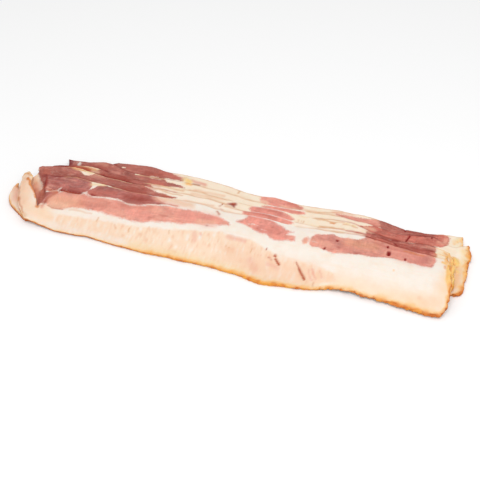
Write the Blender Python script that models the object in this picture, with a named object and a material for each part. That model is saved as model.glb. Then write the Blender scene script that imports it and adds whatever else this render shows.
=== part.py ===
"""Sliced bacon: five streaky slices that still lie together as one shingled bunch.

Each slice is one thin solid. It starts as a flat grid, takes its outline from its border curves, and
then settles on the slices below it. Metres, +Z up. The length runs along X, and the smoked rind edge
of the slices faces -Y. The origin is at the middle of the bunch's base.
"""

import math

import bmesh
import bpy
import numpy as np

# Driving dimensions, in millimetres
MM = 0.001
SLICE_THICKNESS = 2.2       # regular slices, uncooked
THICKNESS_SWELL = 0.10      # how much the thickness varies over a slice
SWELL_LENGTH = 30.0
LAYER_GAP = 0.35            # air between one slice and the next
EDGE_WANDER = 0.35          # how far a cut edge strays from its smooth line
WANDER_LENGTH = 15.0        # and over what length
LIFT_HEIGHT = 0.3           # how high a slice rises in its loose places
LIFT_LENGTH = 75.0
DROOP_SLOPE = 0.6           # how steeply a slice bends down over the edge of the one below
DROOP_LEDGE = 2.0           # how far it stays level past that edge first
DROOP_REACH = 18.0
BUNCH_CENTRE = (-7.6, 6.9)  # middle of the bunch, in the coordinates of the border curves

# Grid of each slice
COLUMNS = 56
ROWS = 10
TEAR_COLUMN = 7             # the two upper slices are torn as far in as this column
TEAR_ROW = 5                # along this row
TEAR_SHARE = TEAR_COLUMN / COLUMNS

# Field on which the heights are worked out, in millimetres
FIELD_LOW = np.array([-156.0, -44.0])
FIELD_HIGH = np.array([142.0, 60.0])
FIELD_PITCH = 1.0

# Slices from the lowest to the top one. The borders of a sheet are knots (along, across) of smooth
# curves: front (the rind) and back (the lean edge) run from left to right, left and right run from
# front to back. A border of two runs gives the share of the columns where the first one ends.
SLICES = {
    "slice_bottom": {
        "seed": 5,
        "color": (0.62, 0.20, 0.14),
        "sheets": [{
            "front": [(1.0, [(-112, 4), (-60, 4), (0, 3), (60, 2), (118, 1)])],
            "back": [(1.0, [(-92.5, 42.5), (-83, 43.7), (-74, 45.6), (-63, 44.1), (-40, 44), (-22, 42),
                            (-2, 38.9), (10, 40.2), (20, 39), (54, 40.2), (70, 39.9), (84, 36.8),
                            (90, 36), (120.5, 39.6)])],
            "left": [(-112, 4), (-124, 13), (-122, 25), (-102, 34.5), (-92.5, 42.5)],
            "right": [(118, 1), (120, 14), (121.5, 31), (120.5, 39.6)],
        }],
    },
    "slice_fourth": {
        "seed": 4,
        "color": (0.66, 0.23, 0.16),
        "sheets": [{
            "front": [(1.0, [(-118, -6), (-60, -5), (0, -5.5), (60, -6), (123.5, -9.2)])],
            "back": [(1.0, [(-123.5, 36), (-108, 35.5), (-95.5, 37.6), (-86, 33.8), (-60, 33.5), (-21, 32.7),
                            (-5, 30.2), (27, 30.5), (48, 32), (67, 31.5), (87, 27.4), (105, 31),
                            (118, 26.6), (125.2, 32)])],
            "left": [(-118, -6), (-128, 4), (-128, 16), (-119.5, 26), (-123.5, 36)],
            "right": [(123.5, -9.2), (127.3, -4.5), (128.3, 3), (127.2, 13), (127.9, 24), (125.2, 32)],
        }],
    },
    "slice_middle": {
        "seed": 3,
        "color": (0.70, 0.27, 0.19),
        "sheets": [{
            "front": [(1.0, [(-122, -13), (-60, -11.5), (0, -12), (60, -11), (120.5, -12.5)])],
            "back": [(1.0, [(-126.7, 22.4), (-118, 24.6), (-104, 27.7), (-86, 24.9), (-55, 24.2), (-43, 25.3),
                            (-5, 22.7), (16, 23.9), (30, 22.6), (60, 25.3), (72, 21.7), (90, 19.1),
                            (103, 20.5), (116, 18)])],
            "left": [(-122, -13), (-133, -4), (-135, 5), (-131, 14), (-126.7, 22.4)],
            "right": [(120.5, -12.5), (122.7, -7), (121.7, 1), (120.8, 7), (118.8, 12.5), (116, 18)],
        }],
    },
    "slice_second": {
        "seed": 2,
        "color": (0.74, 0.31, 0.22),
        "sheets": [{
            "front": [(TEAR_SHARE, [(-143.4, 4), (-143.4, -4.2), (-139.6, -12.4), (-133, -17.6), (-124.4, -23.4)]),
                      (1.0, [(-124.4, -23.4), (-112, -18.5), (-90, -17), (-50, -17.5), (0, -17.5), (60, -14),
                             (117, -15)])],
            "back": [(TEAR_SHARE, [(-142.4, 4.2), (-140.9, 1.6), (-138.6, -1.4), (-135, -3), (-132.1, -2.1)]),
                     (1.0, [(-132.1, -2.1), (-60, -0.5), (0, -1), (60, 0.5), (118.2, -1)])],
            "left": [(-143.4, 4), (-143, 4.7), (-142.4, 4.2)],
            "right": [(117, -15), (118.5, -7), (118.2, -1)],
        }, {
            "front": [(TEAR_SHARE, [(-133.4, 16.4), (-131, 10), (-133, 6), (-133.3, 2), (-132.1, -2.1)]),
                      (1.0, [(-132.1, -2.1), (-60, -0.5), (0, -1), (60, 0.5), (118.2, -1)])],
            "back": [(1.0, [(-132.6, 17.2), (-126, 17), (-113, 20.3), (-88, 18), (-54, 17.3), (-22, 17.4),
                            (-3, 14.2), (12, 15.7), (34, 13.2), (68, 15.8), (90, 13.5), (115, 12.6)])],
            "left": [(-133.4, 16.4), (-133.1, 16.9), (-132.6, 17.2)],
            "right": [(118.2, -1), (117.5, 5), (115, 12.6)],
        }],
    },
    "slice_top": {
        "seed": 1,
        "color": (0.86, 0.58, 0.46),
        "sheets": [{
            "front": [(TEAR_SHARE, [(-139.9, 8), (-137.6, 0), (-135.4, -8.4), (-131.6, -16.2), (-123.5, -24.8)]),
                      (1.0, [(-123.5, -24.8), (-112, -25.7), (-103, -26.9), (-84, -25.8), (-57, -27.9),
                             (-14, -27.8), (10, -29.3), (23, -31.8), (33, -30), (43, -29.2), (61, -24.4),
                             (80, -24.9), (100, -26.4), (112, -27.6), (120, -27.2)])],
            "back": [(TEAR_SHARE, [(-132.2, 5), (-130, -0.5), (-124.1, -7.6), (-118.6, -16.1)]),
                     (1.0, [(-118.6, -16.1), (-60, -9), (0, -8), (60, -7.5), (121.4, -9.5)])],
            "left": [(-139.9, 8), (-137, 9.4), (-132.2, 5)],
            "right": [(120, -27), (122.2, -21), (122.3, -15.5), (121.4, -9.5)],
        }, {
            "front": [(TEAR_SHARE, [(-119.8, -3.5), (-117.2, -7), (-116.8, -11.5), (-118.6, -16.1)]),
                      (1.0, [(-118.6, -16.1), (-60, -9), (0, -8), (60, -7.5), (121.4, -9.5)])],
            "back": [(1.0, [(-123.4, 6.2), (-116.5, 7), (-106, 9.2), (-90, 8), (-42, 8), (-28, 9),
                            (-6, 7), (8, 8.6), (26, 7.4), (50, 9.2), (70, 10.8), (90, 8), (108, 6.2),
                            (116, 6.5)])],
            "left": [(-119.8, -3.5), (-121.8, 1.5), (-123.4, 6.2)],
            "right": [(121.4, -9.5), (119.5, -2), (116, 6.5)],
        }],
    },
}


def smooth_path(knots, shares):
    """Points at the given shares, 0 to 1, of a smooth curve through the knots."""
    knots = np.asarray(knots, float)
    steps = np.hypot(*np.diff(knots, axis=0).T)
    along = np.concatenate([[0.0], np.cumsum(steps)])
    slopes = np.gradient(knots, along, axis=0)
    wanted = np.clip(shares, 0.0, 1.0) * along[-1]
    index = np.clip(np.searchsorted(along, wanted, side="right") - 1, 0, len(steps) - 1)
    span = steps[index][:, None]
    t = ((wanted - along[index]) / steps[index])[:, None]
    return ((2 * t**3 - 3 * t**2 + 1) * knots[index] + (t**3 - 2 * t**2 + t) * span * slopes[index]
            + (3 * t**2 - 2 * t**3) * knots[index + 1] + (t**3 - t**2) * span * slopes[index + 1])


def border_path(runs, shares):
    """Points of a border that is made of one or more runs."""
    points = np.zeros((len(shares), 2))
    start = 0.0
    for end, knots in runs:
        chosen = shares >= start
        points[chosen] = smooth_path(knots, (shares[chosen] - start) / (end - start))
        start = end
    return points


def wave(points, length, seed):
    """A gentle, seeded unevenness over the plan, between about -1 and 1."""
    rng = np.random.default_rng(seed)
    total = np.zeros(len(points))
    for turn in rng.uniform(0.0, 2 * math.pi, 5):
        size = length * rng.uniform(0.7, 1.6)
        shift = rng.uniform(0.0, 2 * math.pi)
        along = points[:, 0] * math.cos(turn) + points[:, 1] * math.sin(turn)
        total += np.sin(along * 2 * math.pi / size + shift)
    return total / 3.0


def sheet_points(sheet, s, w):
    """Plan of a sheet stretched between its borders, at shares s along it and w across it."""
    low = border_path(sheet["front"], s)
    high = border_path(sheet["back"], s)
    start = smooth_path(sheet["left"], w)
    end = smooth_path(sheet["right"], w)
    s = s[:, None]
    w = w[:, None]
    corners = ((1 - w) * ((1 - s) * np.array(sheet["left"][0]) + s * np.array(sheet["right"][0]))
               + w * ((1 - s) * np.array(sheet["left"][-1]) + s * np.array(sheet["right"][-1])))
    return (1 - w) * low + w * high + (1 - s) * start + s * end - corners


def slice_plan(form, s, w, behind_tear):
    """Plan of a slice's points. behind_tear marks those on the lean side of its tear."""
    sheets = form["sheets"]
    if len(sheets) == 1:
        points = sheet_points(sheets[0], s, w)
    else:
        middle = TEAR_ROW / ROWS
        near = sheet_points(sheets[0], s, np.minimum(w / middle, 1.0))
        far = sheet_points(sheets[1], s, np.maximum((w - middle) / (1 - middle), 0.0))
        points = np.where(behind_tear[:, None], far, near)
    edge = np.maximum(np.abs(2 * s - 1) ** 30, np.abs(2 * w - 1) ** 6)
    stray = wave(points, WANDER_LENGTH, 10 * form["seed"]) * EDGE_WANDER * edge
    return points + np.stack([stray, -stray], axis=1)


def field_plan():
    """Plan positions of the height field's cells."""
    xs = np.arange(FIELD_LOW[0], FIELD_HIGH[0], FIELD_PITCH)
    ys = np.arange(FIELD_LOW[1], FIELD_HIGH[1], FIELD_PITCH)
    return np.stack(np.meshgrid(xs, ys, indexing="ij"), axis=-1)


def covered_cells(form, shape):
    """The cells of the field that a slice lies on."""
    s, w = np.meshgrid(np.linspace(0, 1, 1200), np.linspace(0, 1, 240))
    s = s.ravel()
    w = w.ravel()
    cells = np.round((slice_plan(form, s, w, w > TEAR_ROW / ROWS) - FIELD_LOW) / FIELD_PITCH).astype(int)
    covered = np.zeros(shape, bool)
    covered[cells[:, 0], cells[:, 1]] = True
    return covered


def shifted(field, dx, dy):
    """The field moved by whole cells, with what comes in from outside at zero."""
    moved = np.zeros_like(field)
    nx, ny = field.shape
    moved[max(dx, 0):nx + min(dx, 0), max(dy, 0):ny + min(dy, 0)] = \
        field[max(-dx, 0):nx + min(-dx, 0), max(-dy, 0):ny + min(-dy, 0)]
    return moved


def drooped(support):
    """How low a limp slice can lie on what is below it: level past each edge, then bending down."""
    lowest = support.copy()
    reach = int(DROOP_REACH / FIELD_PITCH)
    for dx in range(-reach, reach + 1):
        for dy in range(-reach, reach + 1):
            away = math.hypot(dx, dy) * FIELD_PITCH
            if 0.0 < away <= DROOP_REACH:
                fall = DROOP_SLOPE * max(away - DROOP_LEDGE, 0.0)
                np.maximum(lowest, shifted(support, dx, dy) - fall, out=lowest)
    for _ in range(4):
        lowest = sum(shifted(lowest, dx, dy) for dx in (-1, 0, 1) for dy in (-1, 0, 1)) / 9
    return lowest


def sample(field, points):
    """Heights of the field at plan points, smooth between its cells."""
    place = (points - FIELD_LOW) / FIELD_PITCH
    cell = np.clip(np.floor(place).astype(int), 0, np.array(field.shape) - 2)
    part = place - cell
    i, j = cell.T
    u, v = part.T
    return ((1 - u) * (1 - v) * field[i, j] + u * (1 - v) * field[i + 1, j]
            + (1 - u) * v * field[i, j + 1] + u * v * field[i + 1, j + 1])


def settle_slices():
    """Lays the slices on each other, lowest first, and returns each one's two height fields."""
    plan = field_plan()
    flat = plan.reshape(-1, 2)
    support = np.zeros(plan.shape[:2])
    fields = {}
    for name, form in SLICES.items():
        if support.any():
            lift = (1 + wave(flat, LIFT_LENGTH, 100 + form["seed"]).reshape(support.shape)) * LIFT_HEIGHT / 2
            rest = drooped(support)
            under = rest + np.minimum(rest, 1.0) * (LAYER_GAP + lift)
        else:
            under = np.zeros_like(support)
        swell = wave(flat, SWELL_LENGTH, 200 + form["seed"]).reshape(support.shape)
        thickness = SLICE_THICKNESS + THICKNESS_SWELL * swell
        fields[name] = (under, under + thickness)
        covered = covered_cells(form, support.shape)
        support = np.where(covered, np.maximum(support, under + thickness), support)
    return fields


def open_tear(mesh):
    """Parts the grid along the tear row, from the left end in."""
    tear_y = TEAR_ROW / ROWS - 0.5
    tear_end = TEAR_SHARE - 0.5
    torn = [edge for edge in mesh.edges
            if all(abs(vert.co.y - tear_y) < 1e-4 and vert.co.x < tear_end + 1e-4 for vert in edge.verts)]
    bmesh.ops.split_edges(mesh, edges=torn)


def slice_mesh(form, heights):
    """One slice: a flat grid, laid out between its borders, settled and given its thickness."""
    under, over = heights
    mesh = bmesh.new()
    bmesh.ops.create_grid(mesh, x_segments=COLUMNS, y_segments=ROWS, size=0.5)
    if len(form["sheets"]) > 1:
        open_tear(mesh)
    shares = np.array([vert.co for vert in mesh.verts]) + 0.5
    reach = np.array([max(face.calc_center_median().y for face in vert.link_faces) for vert in mesh.verts])
    behind = reach + 0.5 > TEAR_ROW / ROWS
    plan = slice_plan(form, shares[:, 0], shares[:, 1], behind)
    for vert, point, height in zip(mesh.verts, plan, sample(under, plan)):
        vert.co = (point[0], point[1], height)
    bmesh.ops.triangulate(mesh, faces=mesh.faces[:], quad_method="SHORT_EDGE")
    raised = bmesh.ops.extrude_face_region(mesh, geom=mesh.faces[:], use_keep_orig=True)["geom"]
    upper = [item for item in raised if isinstance(item, bmesh.types.BMVert)]
    thickness = sample(over - under, np.array([vert.co.xy for vert in upper]))
    for vert, height in zip(upper, thickness):
        vert.co.z += height
    bmesh.ops.translate(mesh, verts=mesh.verts[:], vec=(-BUNCH_CENTRE[0], -BUNCH_CENTRE[1], 0.0))
    bmesh.ops.scale(mesh, verts=mesh.verts[:], vec=(MM, MM, MM))
    bmesh.ops.recalc_face_normals(mesh, faces=mesh.faces[:])
    return mesh


def meat_material(name, color):
    """A moist, slightly glossy finish in the slice's overall colour."""
    material = bpy.data.materials.new(name)
    material.use_nodes = True
    shader = material.node_tree.nodes["Principled BSDF"]
    shader.inputs["Base Color"].default_value = (*color, 1.0)
    shader.inputs["Roughness"].default_value = 0.42
    shader.inputs["Metallic"].default_value = 0.0
    return material


def add_slice(name, form, heights, collection):
    """Makes a slice's object and puts it in the bunch's collection."""
    mesh = slice_mesh(form, heights)
    data = bpy.data.meshes.new(name)
    mesh.to_mesh(data)
    mesh.free()
    data.materials.append(meat_material(name + "_meat", form["color"]))
    data.shade_smooth()
    data.set_sharp_from_angle(angle=math.radians(50))
    collection.objects.link(bpy.data.objects.new(name, data))


def main():
    for thing in list(bpy.data.objects):
        bpy.data.objects.remove(thing, do_unlink=True)
    collection = bpy.data.collections.new("sliced_bacon")
    bpy.context.scene.collection.children.link(collection)
    for name, heights in settle_slices().items():
        add_slice(name, SLICES[name], heights, collection)


main()
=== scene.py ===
import math

import bmesh
import bpy
import numpy as np
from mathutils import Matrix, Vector
from mathutils.bvhtree import BVHTree


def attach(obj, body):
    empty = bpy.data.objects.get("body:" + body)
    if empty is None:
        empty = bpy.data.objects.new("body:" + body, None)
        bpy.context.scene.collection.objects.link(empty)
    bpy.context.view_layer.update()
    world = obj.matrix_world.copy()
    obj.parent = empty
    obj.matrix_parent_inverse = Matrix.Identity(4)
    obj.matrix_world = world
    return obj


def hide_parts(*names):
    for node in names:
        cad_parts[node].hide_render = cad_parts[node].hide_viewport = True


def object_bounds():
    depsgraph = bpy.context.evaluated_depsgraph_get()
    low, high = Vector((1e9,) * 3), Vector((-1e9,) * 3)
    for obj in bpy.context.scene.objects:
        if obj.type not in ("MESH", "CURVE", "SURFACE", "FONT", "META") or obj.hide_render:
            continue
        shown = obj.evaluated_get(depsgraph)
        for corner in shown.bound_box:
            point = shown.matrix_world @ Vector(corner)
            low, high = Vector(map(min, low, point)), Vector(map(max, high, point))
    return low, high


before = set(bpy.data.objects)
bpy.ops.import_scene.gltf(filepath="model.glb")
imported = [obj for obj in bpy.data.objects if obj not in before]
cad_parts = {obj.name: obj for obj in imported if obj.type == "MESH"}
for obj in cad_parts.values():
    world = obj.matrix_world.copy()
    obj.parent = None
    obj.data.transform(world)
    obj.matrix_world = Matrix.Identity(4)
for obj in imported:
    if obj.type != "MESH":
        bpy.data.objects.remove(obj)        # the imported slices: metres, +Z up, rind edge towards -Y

cadBox = [list(corner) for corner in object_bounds()]
mm = 0.001               # places and sizes in the slices' dictionaries are in millimetres
farAway = 99.0           # stands for an edge that a point has nothing to do with

# Finishes of the meat, as they look on screen (0 to 255)
palette = {
    "fat": (248, 238, 227),
    "innerFat": (254, 240, 223),     # of the strips that show of the lower slices
    "oldFat": (253, 237, 215),
    "white": (255, 250, 243),
    "cream": (250, 220, 192),
    "peach": (243, 200, 170),
    "flap": (252, 213, 181),
    "yellow": (255, 214, 136),
    "gold": (250, 182, 90),
    "orange": (226, 138, 74),
    "brown": (198, 112, 66),
    "tan": (224, 166, 118),
    "straw": (248, 218, 168),
    "coral": (234, 163, 146),
    "salmon": (240, 176, 154),
    "rosy": (236, 156, 142),
    "brownPink": (227, 154, 138),
    "brick": (206, 120, 106),
    "mauve": (186, 116, 108),
    "red": (184, 112, 101),
    "dark": (160, 74, 64),
    "deep": (132, 44, 40),
    "rust": (190, 94, 64),
    "blood": (146, 48, 42),
}
exposure = {"gain": 1.12, "shine": 0.03}      # light on a level surface, and the gloss that it adds

# How finely a slice is laid out, and how rough it is, in millimetres
sheetForm = {
    "columnPitch": 0.52,
    "longPitch": 0.572,      # of the columns of an untorn slice
    "rowPitch": 0.56,        # in the strip that shows
    "hiddenPitch": 1.25,     # under the slice above
    "rimSteps": (0.1, 0.28, 0.55, 0.95),
    "rimRound": 0.6,
    "wallCuts": 3,
    "tearShare": 0.125,      # how far in the two upper slices are torn
    "tornEnd": -118,         # their torn tips lie left of this
    "uneven": 0.10,
    "underUneven": 0.06,
    "ragged": 0.13,          # how far a cut edge wanders
    "raggedReach": 1.3,      # how far in from the edge that is felt
    "crumb": 0.7,            # how far the rough rind's crumbs stand out
    "crumbReach": 3,         # how far in from the edge they are
    "crumbSpan": (-30, 120),  # where they begin along the slice, and the length over which they grow
    "lower": 0.05,           # how far the top face lies under the solid's, to leave room for the relief
    "leanStep": 0.07,        # how far lean lies under fat, and the groove between them
    "groove": 0.10,
    "crustHeight": 0.05,
    "crustRough": 0.2,
    "thinnest": 0.5,
}

# The pink band and the creamy muscle that every slice has, as places on the top slice
pinkBand = [
    (-105.4, -16), (-107, -19.4), (-106.4, -21.2), (-104, -22.2), (-100, -22.4), (-95, -21.9), (-90, -20.4),
    (-85, -19.3), (-80, -18.7), (-75, -18.5), (-70, -19), (-62, -19.5), (-55, -19.7), (-47, -19.3),
    (-42, -18), (-37, -17.2), (-30, -16.3), (-22, -15), (-15, -13.3), (-9, -11.8), (-5, -11), (0, -10.6),
    (3, -9.8), (2, -8.5), (-1, -7), (-5, -6), (-9, -5.3), (-14, -5), (-20, -4.8), (-25, -5.2), (-30, -5.3),
    (-38, -6), (-41, -6.6), (-45, -7.6), (-50, -9.1), (-55, -10.3), (-60, -10.7), (-62, -10.3), (-66, -9.4),
    (-70, -9.4), (-75.6, -10), (-80, -10.1), (-84, -10.7), (-88.7, -10.6), (-95, -10.9), (-100, -11.6),
    (-103, -13.2)
]
creamMuscle = [
    (-104, -27.5), (-98, -25.5), (-90, -24.5), (-80, -23.8), (-72, -23.3), (-65, -22.8), (-58, -22.8),
    (-50, -22.3), (-43, -21.5), (-38, -21), (-30, -20), (-20, -18.3), (-12, -17), (-5, -15.5), (2, -15.3),
    (6, -16), (17, -16), (22, -17.5), (27, -19.5), (31, -20.8), (36, -21.8), (42, -21.8), (50, -21.5),
    (57, -22.8), (62, -23.2), (66, -24.3), (67.8, -26), (66.5, -28.5), (63, -30.2), (58, -32), (48, -40),
    (20, -42), (-40, -38), (-90, -35)
]
# How gently a muscle fades to fat, and how faint its fibres are
softness = {"coral": 2.4, "rosy": 2.4, "salmon": 2.6, "brownPink": 1.9, "brick": 1.7, "red": 1.5,
            "mauve": 1.1}

# Each slice, from the lowest to the top one. corners and tear are places on the rim; shown is how much of
# its depth the slice above leaves bare; shift moves the pink band and the creamy muscle to where it has
# them; frontPitch is the row pitch of a torn slice's front half; muscles are lean outlines with their
# colour; seams are fat lines through lean (half width); washes are soft colour (strength, reach); cuts are
# slits and holes (depth, half width), painted dark red that is partly the meat's colour and partly painted
# shade inside them; lumps are raised (height, reach). edge colours the back rim between two lengths: partly
# the browned rim, partly a painted highlight, and painted shade where it is dark or deep. The list after it
# colours the strip behind the rim above between two lengths with painted shade cast by the slice above,
# partly stain. rind is (length, width, glow, brownness), endRind (depth, width, brownness)
slices = {}
slices["slice_bottom"] = {
    "seed": 5,
    "fat": "oldFat",
    "corners": ((-104.4, -2.9), (125.6, -5.9), (128.1, 32.7), (-84.9, 35.6)),
    "shift": (4, 27),
    "shown": 14,
    "rind": [(-120, 0.3, 1.5, 0.5), (0, 1, 3, 0.3), (120, 1.4, 3, 0.5)],
    "endRind": [(-6, 1.6, 0.3), (20, 1.6, 0), (34, 1, 0)],
    "muscles": [
        ("red", (-96, 40), (-97, 30), (-80, 21), (-60, 24), (-52, 30.5), (-45, 31), (-41, 30.7),
         (-40.5, 32), (-41.5, 33.5), (-46, 34.8), (-50, 36.2), (-56, 38), (-58, 42), (-80, 42)),
        ("rosy", (8.5, 30), (9, 33), (14, 35), (24, 34), (31, 31), (35.5, 28.4), (33, 26), (22, 24),
         (11, 25)),
        ("brownPink", (54, 29.8), (62, 30.8), (72, 31.2), (82, 32), (82, 26), (70, 27), (60, 28)),
        ("red", (80, 30), (84, 37), (100, 33), (113, 33), (114, 24), (100, 22), (82, 25)),
        ("brick", (113, 33), (118, 32), (121, 30.4), (121.8, 26), (121, 22), (112, 23)),
    ],
    "seams": [
        (0.5, (-66, 27.5), (-57, 30)), (0.45, (-56, 28), (-42, 30)), (0.7, (-80.8, 32.3), (-79.8, 32.4)),
        (0.4, (-99, 33), (-92, 34.5)),
    ],
    "washes": [
        ("peach", 0.8, 1.2, (30, 27.2), (45, 28)), ("coral", 0.8, 1.5, (-36, 33), (-33, 32.6), (-27, 31.6)),
        ("dark", 0.8, 1, (-34, 29.9), (-31, 30)), ("tan", 0.8, 0.6, (-5.7, 33.8), (-5.1, 30.5)),
        ("tan", 0.6, 0.7, (45, 28), (58, 32)), ("brick", 0.6, 2.2, (26, 30.5), (33, 28.6)),
        ("straw", 0.7, 2, (125, 27), (127, 30)), ("gold", 0.6, 0.9, (126, 27.6)),
        ("gold", 0.6, 0.9, (124.6, 25)), ("straw", 1, 2.2, (-40.6, 33), (-37.4, 31.8)),
        ("yellow", 0.8, 1.6, (-38, 31.6), (-36.4, 30.6)), ("dark", 0.45, 1.6, (95, 27.6), (112, 28.2)),
        ("brick", 0.4, 3, (-64, 31), (-56, 31.5)), ("red", 0.8, 2.6, (-68, 36.8), (-56, 35.6)),
        ("coral", 0.35, 2, (-48, 34.6), (-43, 33.4)), ("brick", 0.8, 2.6, (-56, 35), (-46, 33)),
        ("dark", 0.5, 2.6, (-65, 31.4), (-57, 31.8)), ("salmon", 0.8, 1.8, (120, 27.4), (119.8, 24)),
        ("cream", 0.6, 1.6, (10, 27.4), (13, 27.2)), ("peach", 0.6, 1.4, (22, 26.6), (29, 26)),
        ("coral", 0.35, 2.4, (54, 31), (64, 31.8)),
    ],
    "cuts": [(0.5, 0.6, (96, 27), (96, 30))],
    "lumps": [(0.7, 2, (-40, 33), (-37.6, 31.6)), (0.6, 1.2, (126.4, 29.6)), (0.6, 1, (127.4, 26))],
    "edge": [
        (-112, -86, "tan", 0.4), (-86, -46, "dark", 0.4), (-46, 10, "tan", 0.85), (10, 36, "tan", 0.5),
        (36, 80, "tan", 0.85), (80, 114, "dark", 0.7), (114, 130, "tan", 0.7),
    ],
    "shadeAndStainBehindRim": [
        (-100, -58, "deep", 0.5), (-58, -42, "dark", 0.5), (-38, 10, "tan", 0.5), (38, 58, "tan", 0.6),
        (58, 80, "brick", 0.5), (98, 116, "deep", 0.7),
    ],
}
slices["slice_fourth"] = {
    "seed": 4,
    "fat": "oldFat",
    "corners": ((-110.4, -12.9), (131.1, -16.1), (132.8, 25.1), (-115.9, 29.1)),
    "shift": (-2, 15),
    "shown": 16,
    "rind": [(-120, 0.3, 1.5, 0.5), (0, 1, 3, 0.3), (120, 1, 2.5, 0.3)],
    "endRind": [(-16, 3, 0.5), (-5, 2.4, 0.5), (5, 2, 0.25), (12, 3, 0.4), (18, 3.6, 0.45), (24, 2.4, 0.4)],
    "muscles": [
        ("red", (-120, 33), (-123, 20), (-112, 12), (-60, 12), (-50, 19), (-42, 21), (-36, 22),
         (-40, 23.3), (-46, 24), (-50, 25), (-53, 29.5), (-62, 31), (-88, 34), (-100, 33)),
        ("rosy", (12, 20), (18, 22), (30, 22.6), (38, 21.6), (37, 20.4), (30, 18.8), (18, 18.5)),
        ("brick", (64, 21), (74, 21.6), (78, 23.5), (84, 27), (100, 26), (113, 26.5), (121, 25.6),
         (122, 21.5), (120.5, 18.5), (113, 16.5), (100, 15), (85, 13), (75, 15), (70, 18)),
    ],
    "seams": [
        (0.6, (-107.3, 26.8), (-105.5, 22)), (0.9, (-69, 25.4), (-67.2, 25.9)),
        (0.3, (-60, 24.4), (-53, 25)),
    ],
    "washes": [
        ("deep", 1, 4.4, (-116, 29), (-113, 23)), ("white", 1, 1.2, (-106.8, 25.6), (-106, 23.4)),
        ("coral", 0.4, 0.5, (-110.6, 27), (-109.8, 23)), ("salmon", 0.3, 0.5, (-109, 27), (-108.4, 23)),
        ("dark", 0.5, 4, (-104, 24), (-90, 25)), ("coral", 0.5, 1.2, (-84, 22.5), (-79, 22.5)),
        ("red", 0.6, 2.4, (-61, 26), (-54, 25.4)), ("brick", 0.8, 2.6, (-57, 21.4), (-51, 20.8)),
        ("salmon", 0.45, 2.2, (-95, 28.4), (-90, 28)), ("peach", 0.55, 1.6, (74, 20), (79, 20.2)),
        ("salmon", 0.6, 1.8, (116.5, 20.6), (118.5, 20)), ("tan", 0.55, 0.7, (45, 18), (57, 20.3)),
        ("brick", 0.4, 1.6, (20, 21.5), (34, 21)), ("peach", 0.6, 1.4, (-30, 22), (-12, 22)),
        ("yellow", 1, 2, (126.6, 10), (128.6, 6), (129, 1)),
        ("orange", 0.6, 0.7, (126, 11.4), (128.6, 10.4)), ("orange", 0.7, 0.9, (129.4, -9), (129.9, -13)),
        ("orange", 0.7, 1.2, (133.6, 19), (133, 15.6)), ("orange", 0.7, 1, (134, 12), (134, 8)),
        ("yellow", 0.6, 2, (131, 18), (131.5, 12)), ("white", 0.5, 3, (130, 14), (129.6, 10)),
        ("straw", 0.4, 4, (131, 8), (131, -8)), ("yellow", 0.5, 2.6, (129.4, 8), (130, 2)),
        ("peach", 0.7, 3.4, (131, 3), (131.4, -9)), ("gold", 0.35, 2, (129.6, -1), (130.4, -9)),
        ("gold", 0.4, 2.6, (127.2, 8.4), (127.8, 6.6)), ("yellow", 1, 2.2, (127.4, 8.6), (128, 7)),
        ("yellow", 0.8, 1.3, (130, 0.8)), ("orange", 0.6, 0.6, (125.6, 7.4), (126.8, 4.8), (129, 4.2)),
        ("straw", 1, 2.2, (-38.8, 27.4), (-36.2, 26.6)), ("gold", 0.7, 1.2, (-36, 26.4), (-33.8, 25.6)),
    ],
    "cuts": [(0.5, 0.55, (98.6, 16.2), (99.7, 20.8)), (0.2, 0.5, (112, 22.6), (112, 23.6))],
    "lumps": [
        (1.8, 1.7, (127.2, 8.4), (127.8, 7)), (1.3, 1.3, (130, 0.8)), (0.9, 1.2, (132.8, 18.5)),
        (0.8, 1.2, (133.4, 11)), (0.6, 0.9, (134.2, 2)), (0.7, 1.3, (-37.6, 26.5), (-35, 25.8)),
    ],
    "edge": [
        (-104, -69, "dark", 0.3), (-69, -50, "straw", 0.85), (-50, -38, "white", 0.6),
        (-38, 15, "tan", 0.65), (15, 38, "white", 0.7), (38, 57, "tan", 0.8), (57, 80, "brick", 0.7),
        (80, 100, "dark", 0.5), (100, 117, "dark", 0.8), (118, 131, "tan", 0.5),
    ],
    "shadeAndStainBehindRim": [
        (-118, -86, "deep", 0.75), (-86, -60, "dark", 0.6), (-60, -42, "brick", 0.4), (-34, -5, "tan", 0.4),
        (44, 60, "brown", 0.5), (60, 80, "brick", 0.6), (80, 116, "dark", 0.8),
    ],
}
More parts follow.
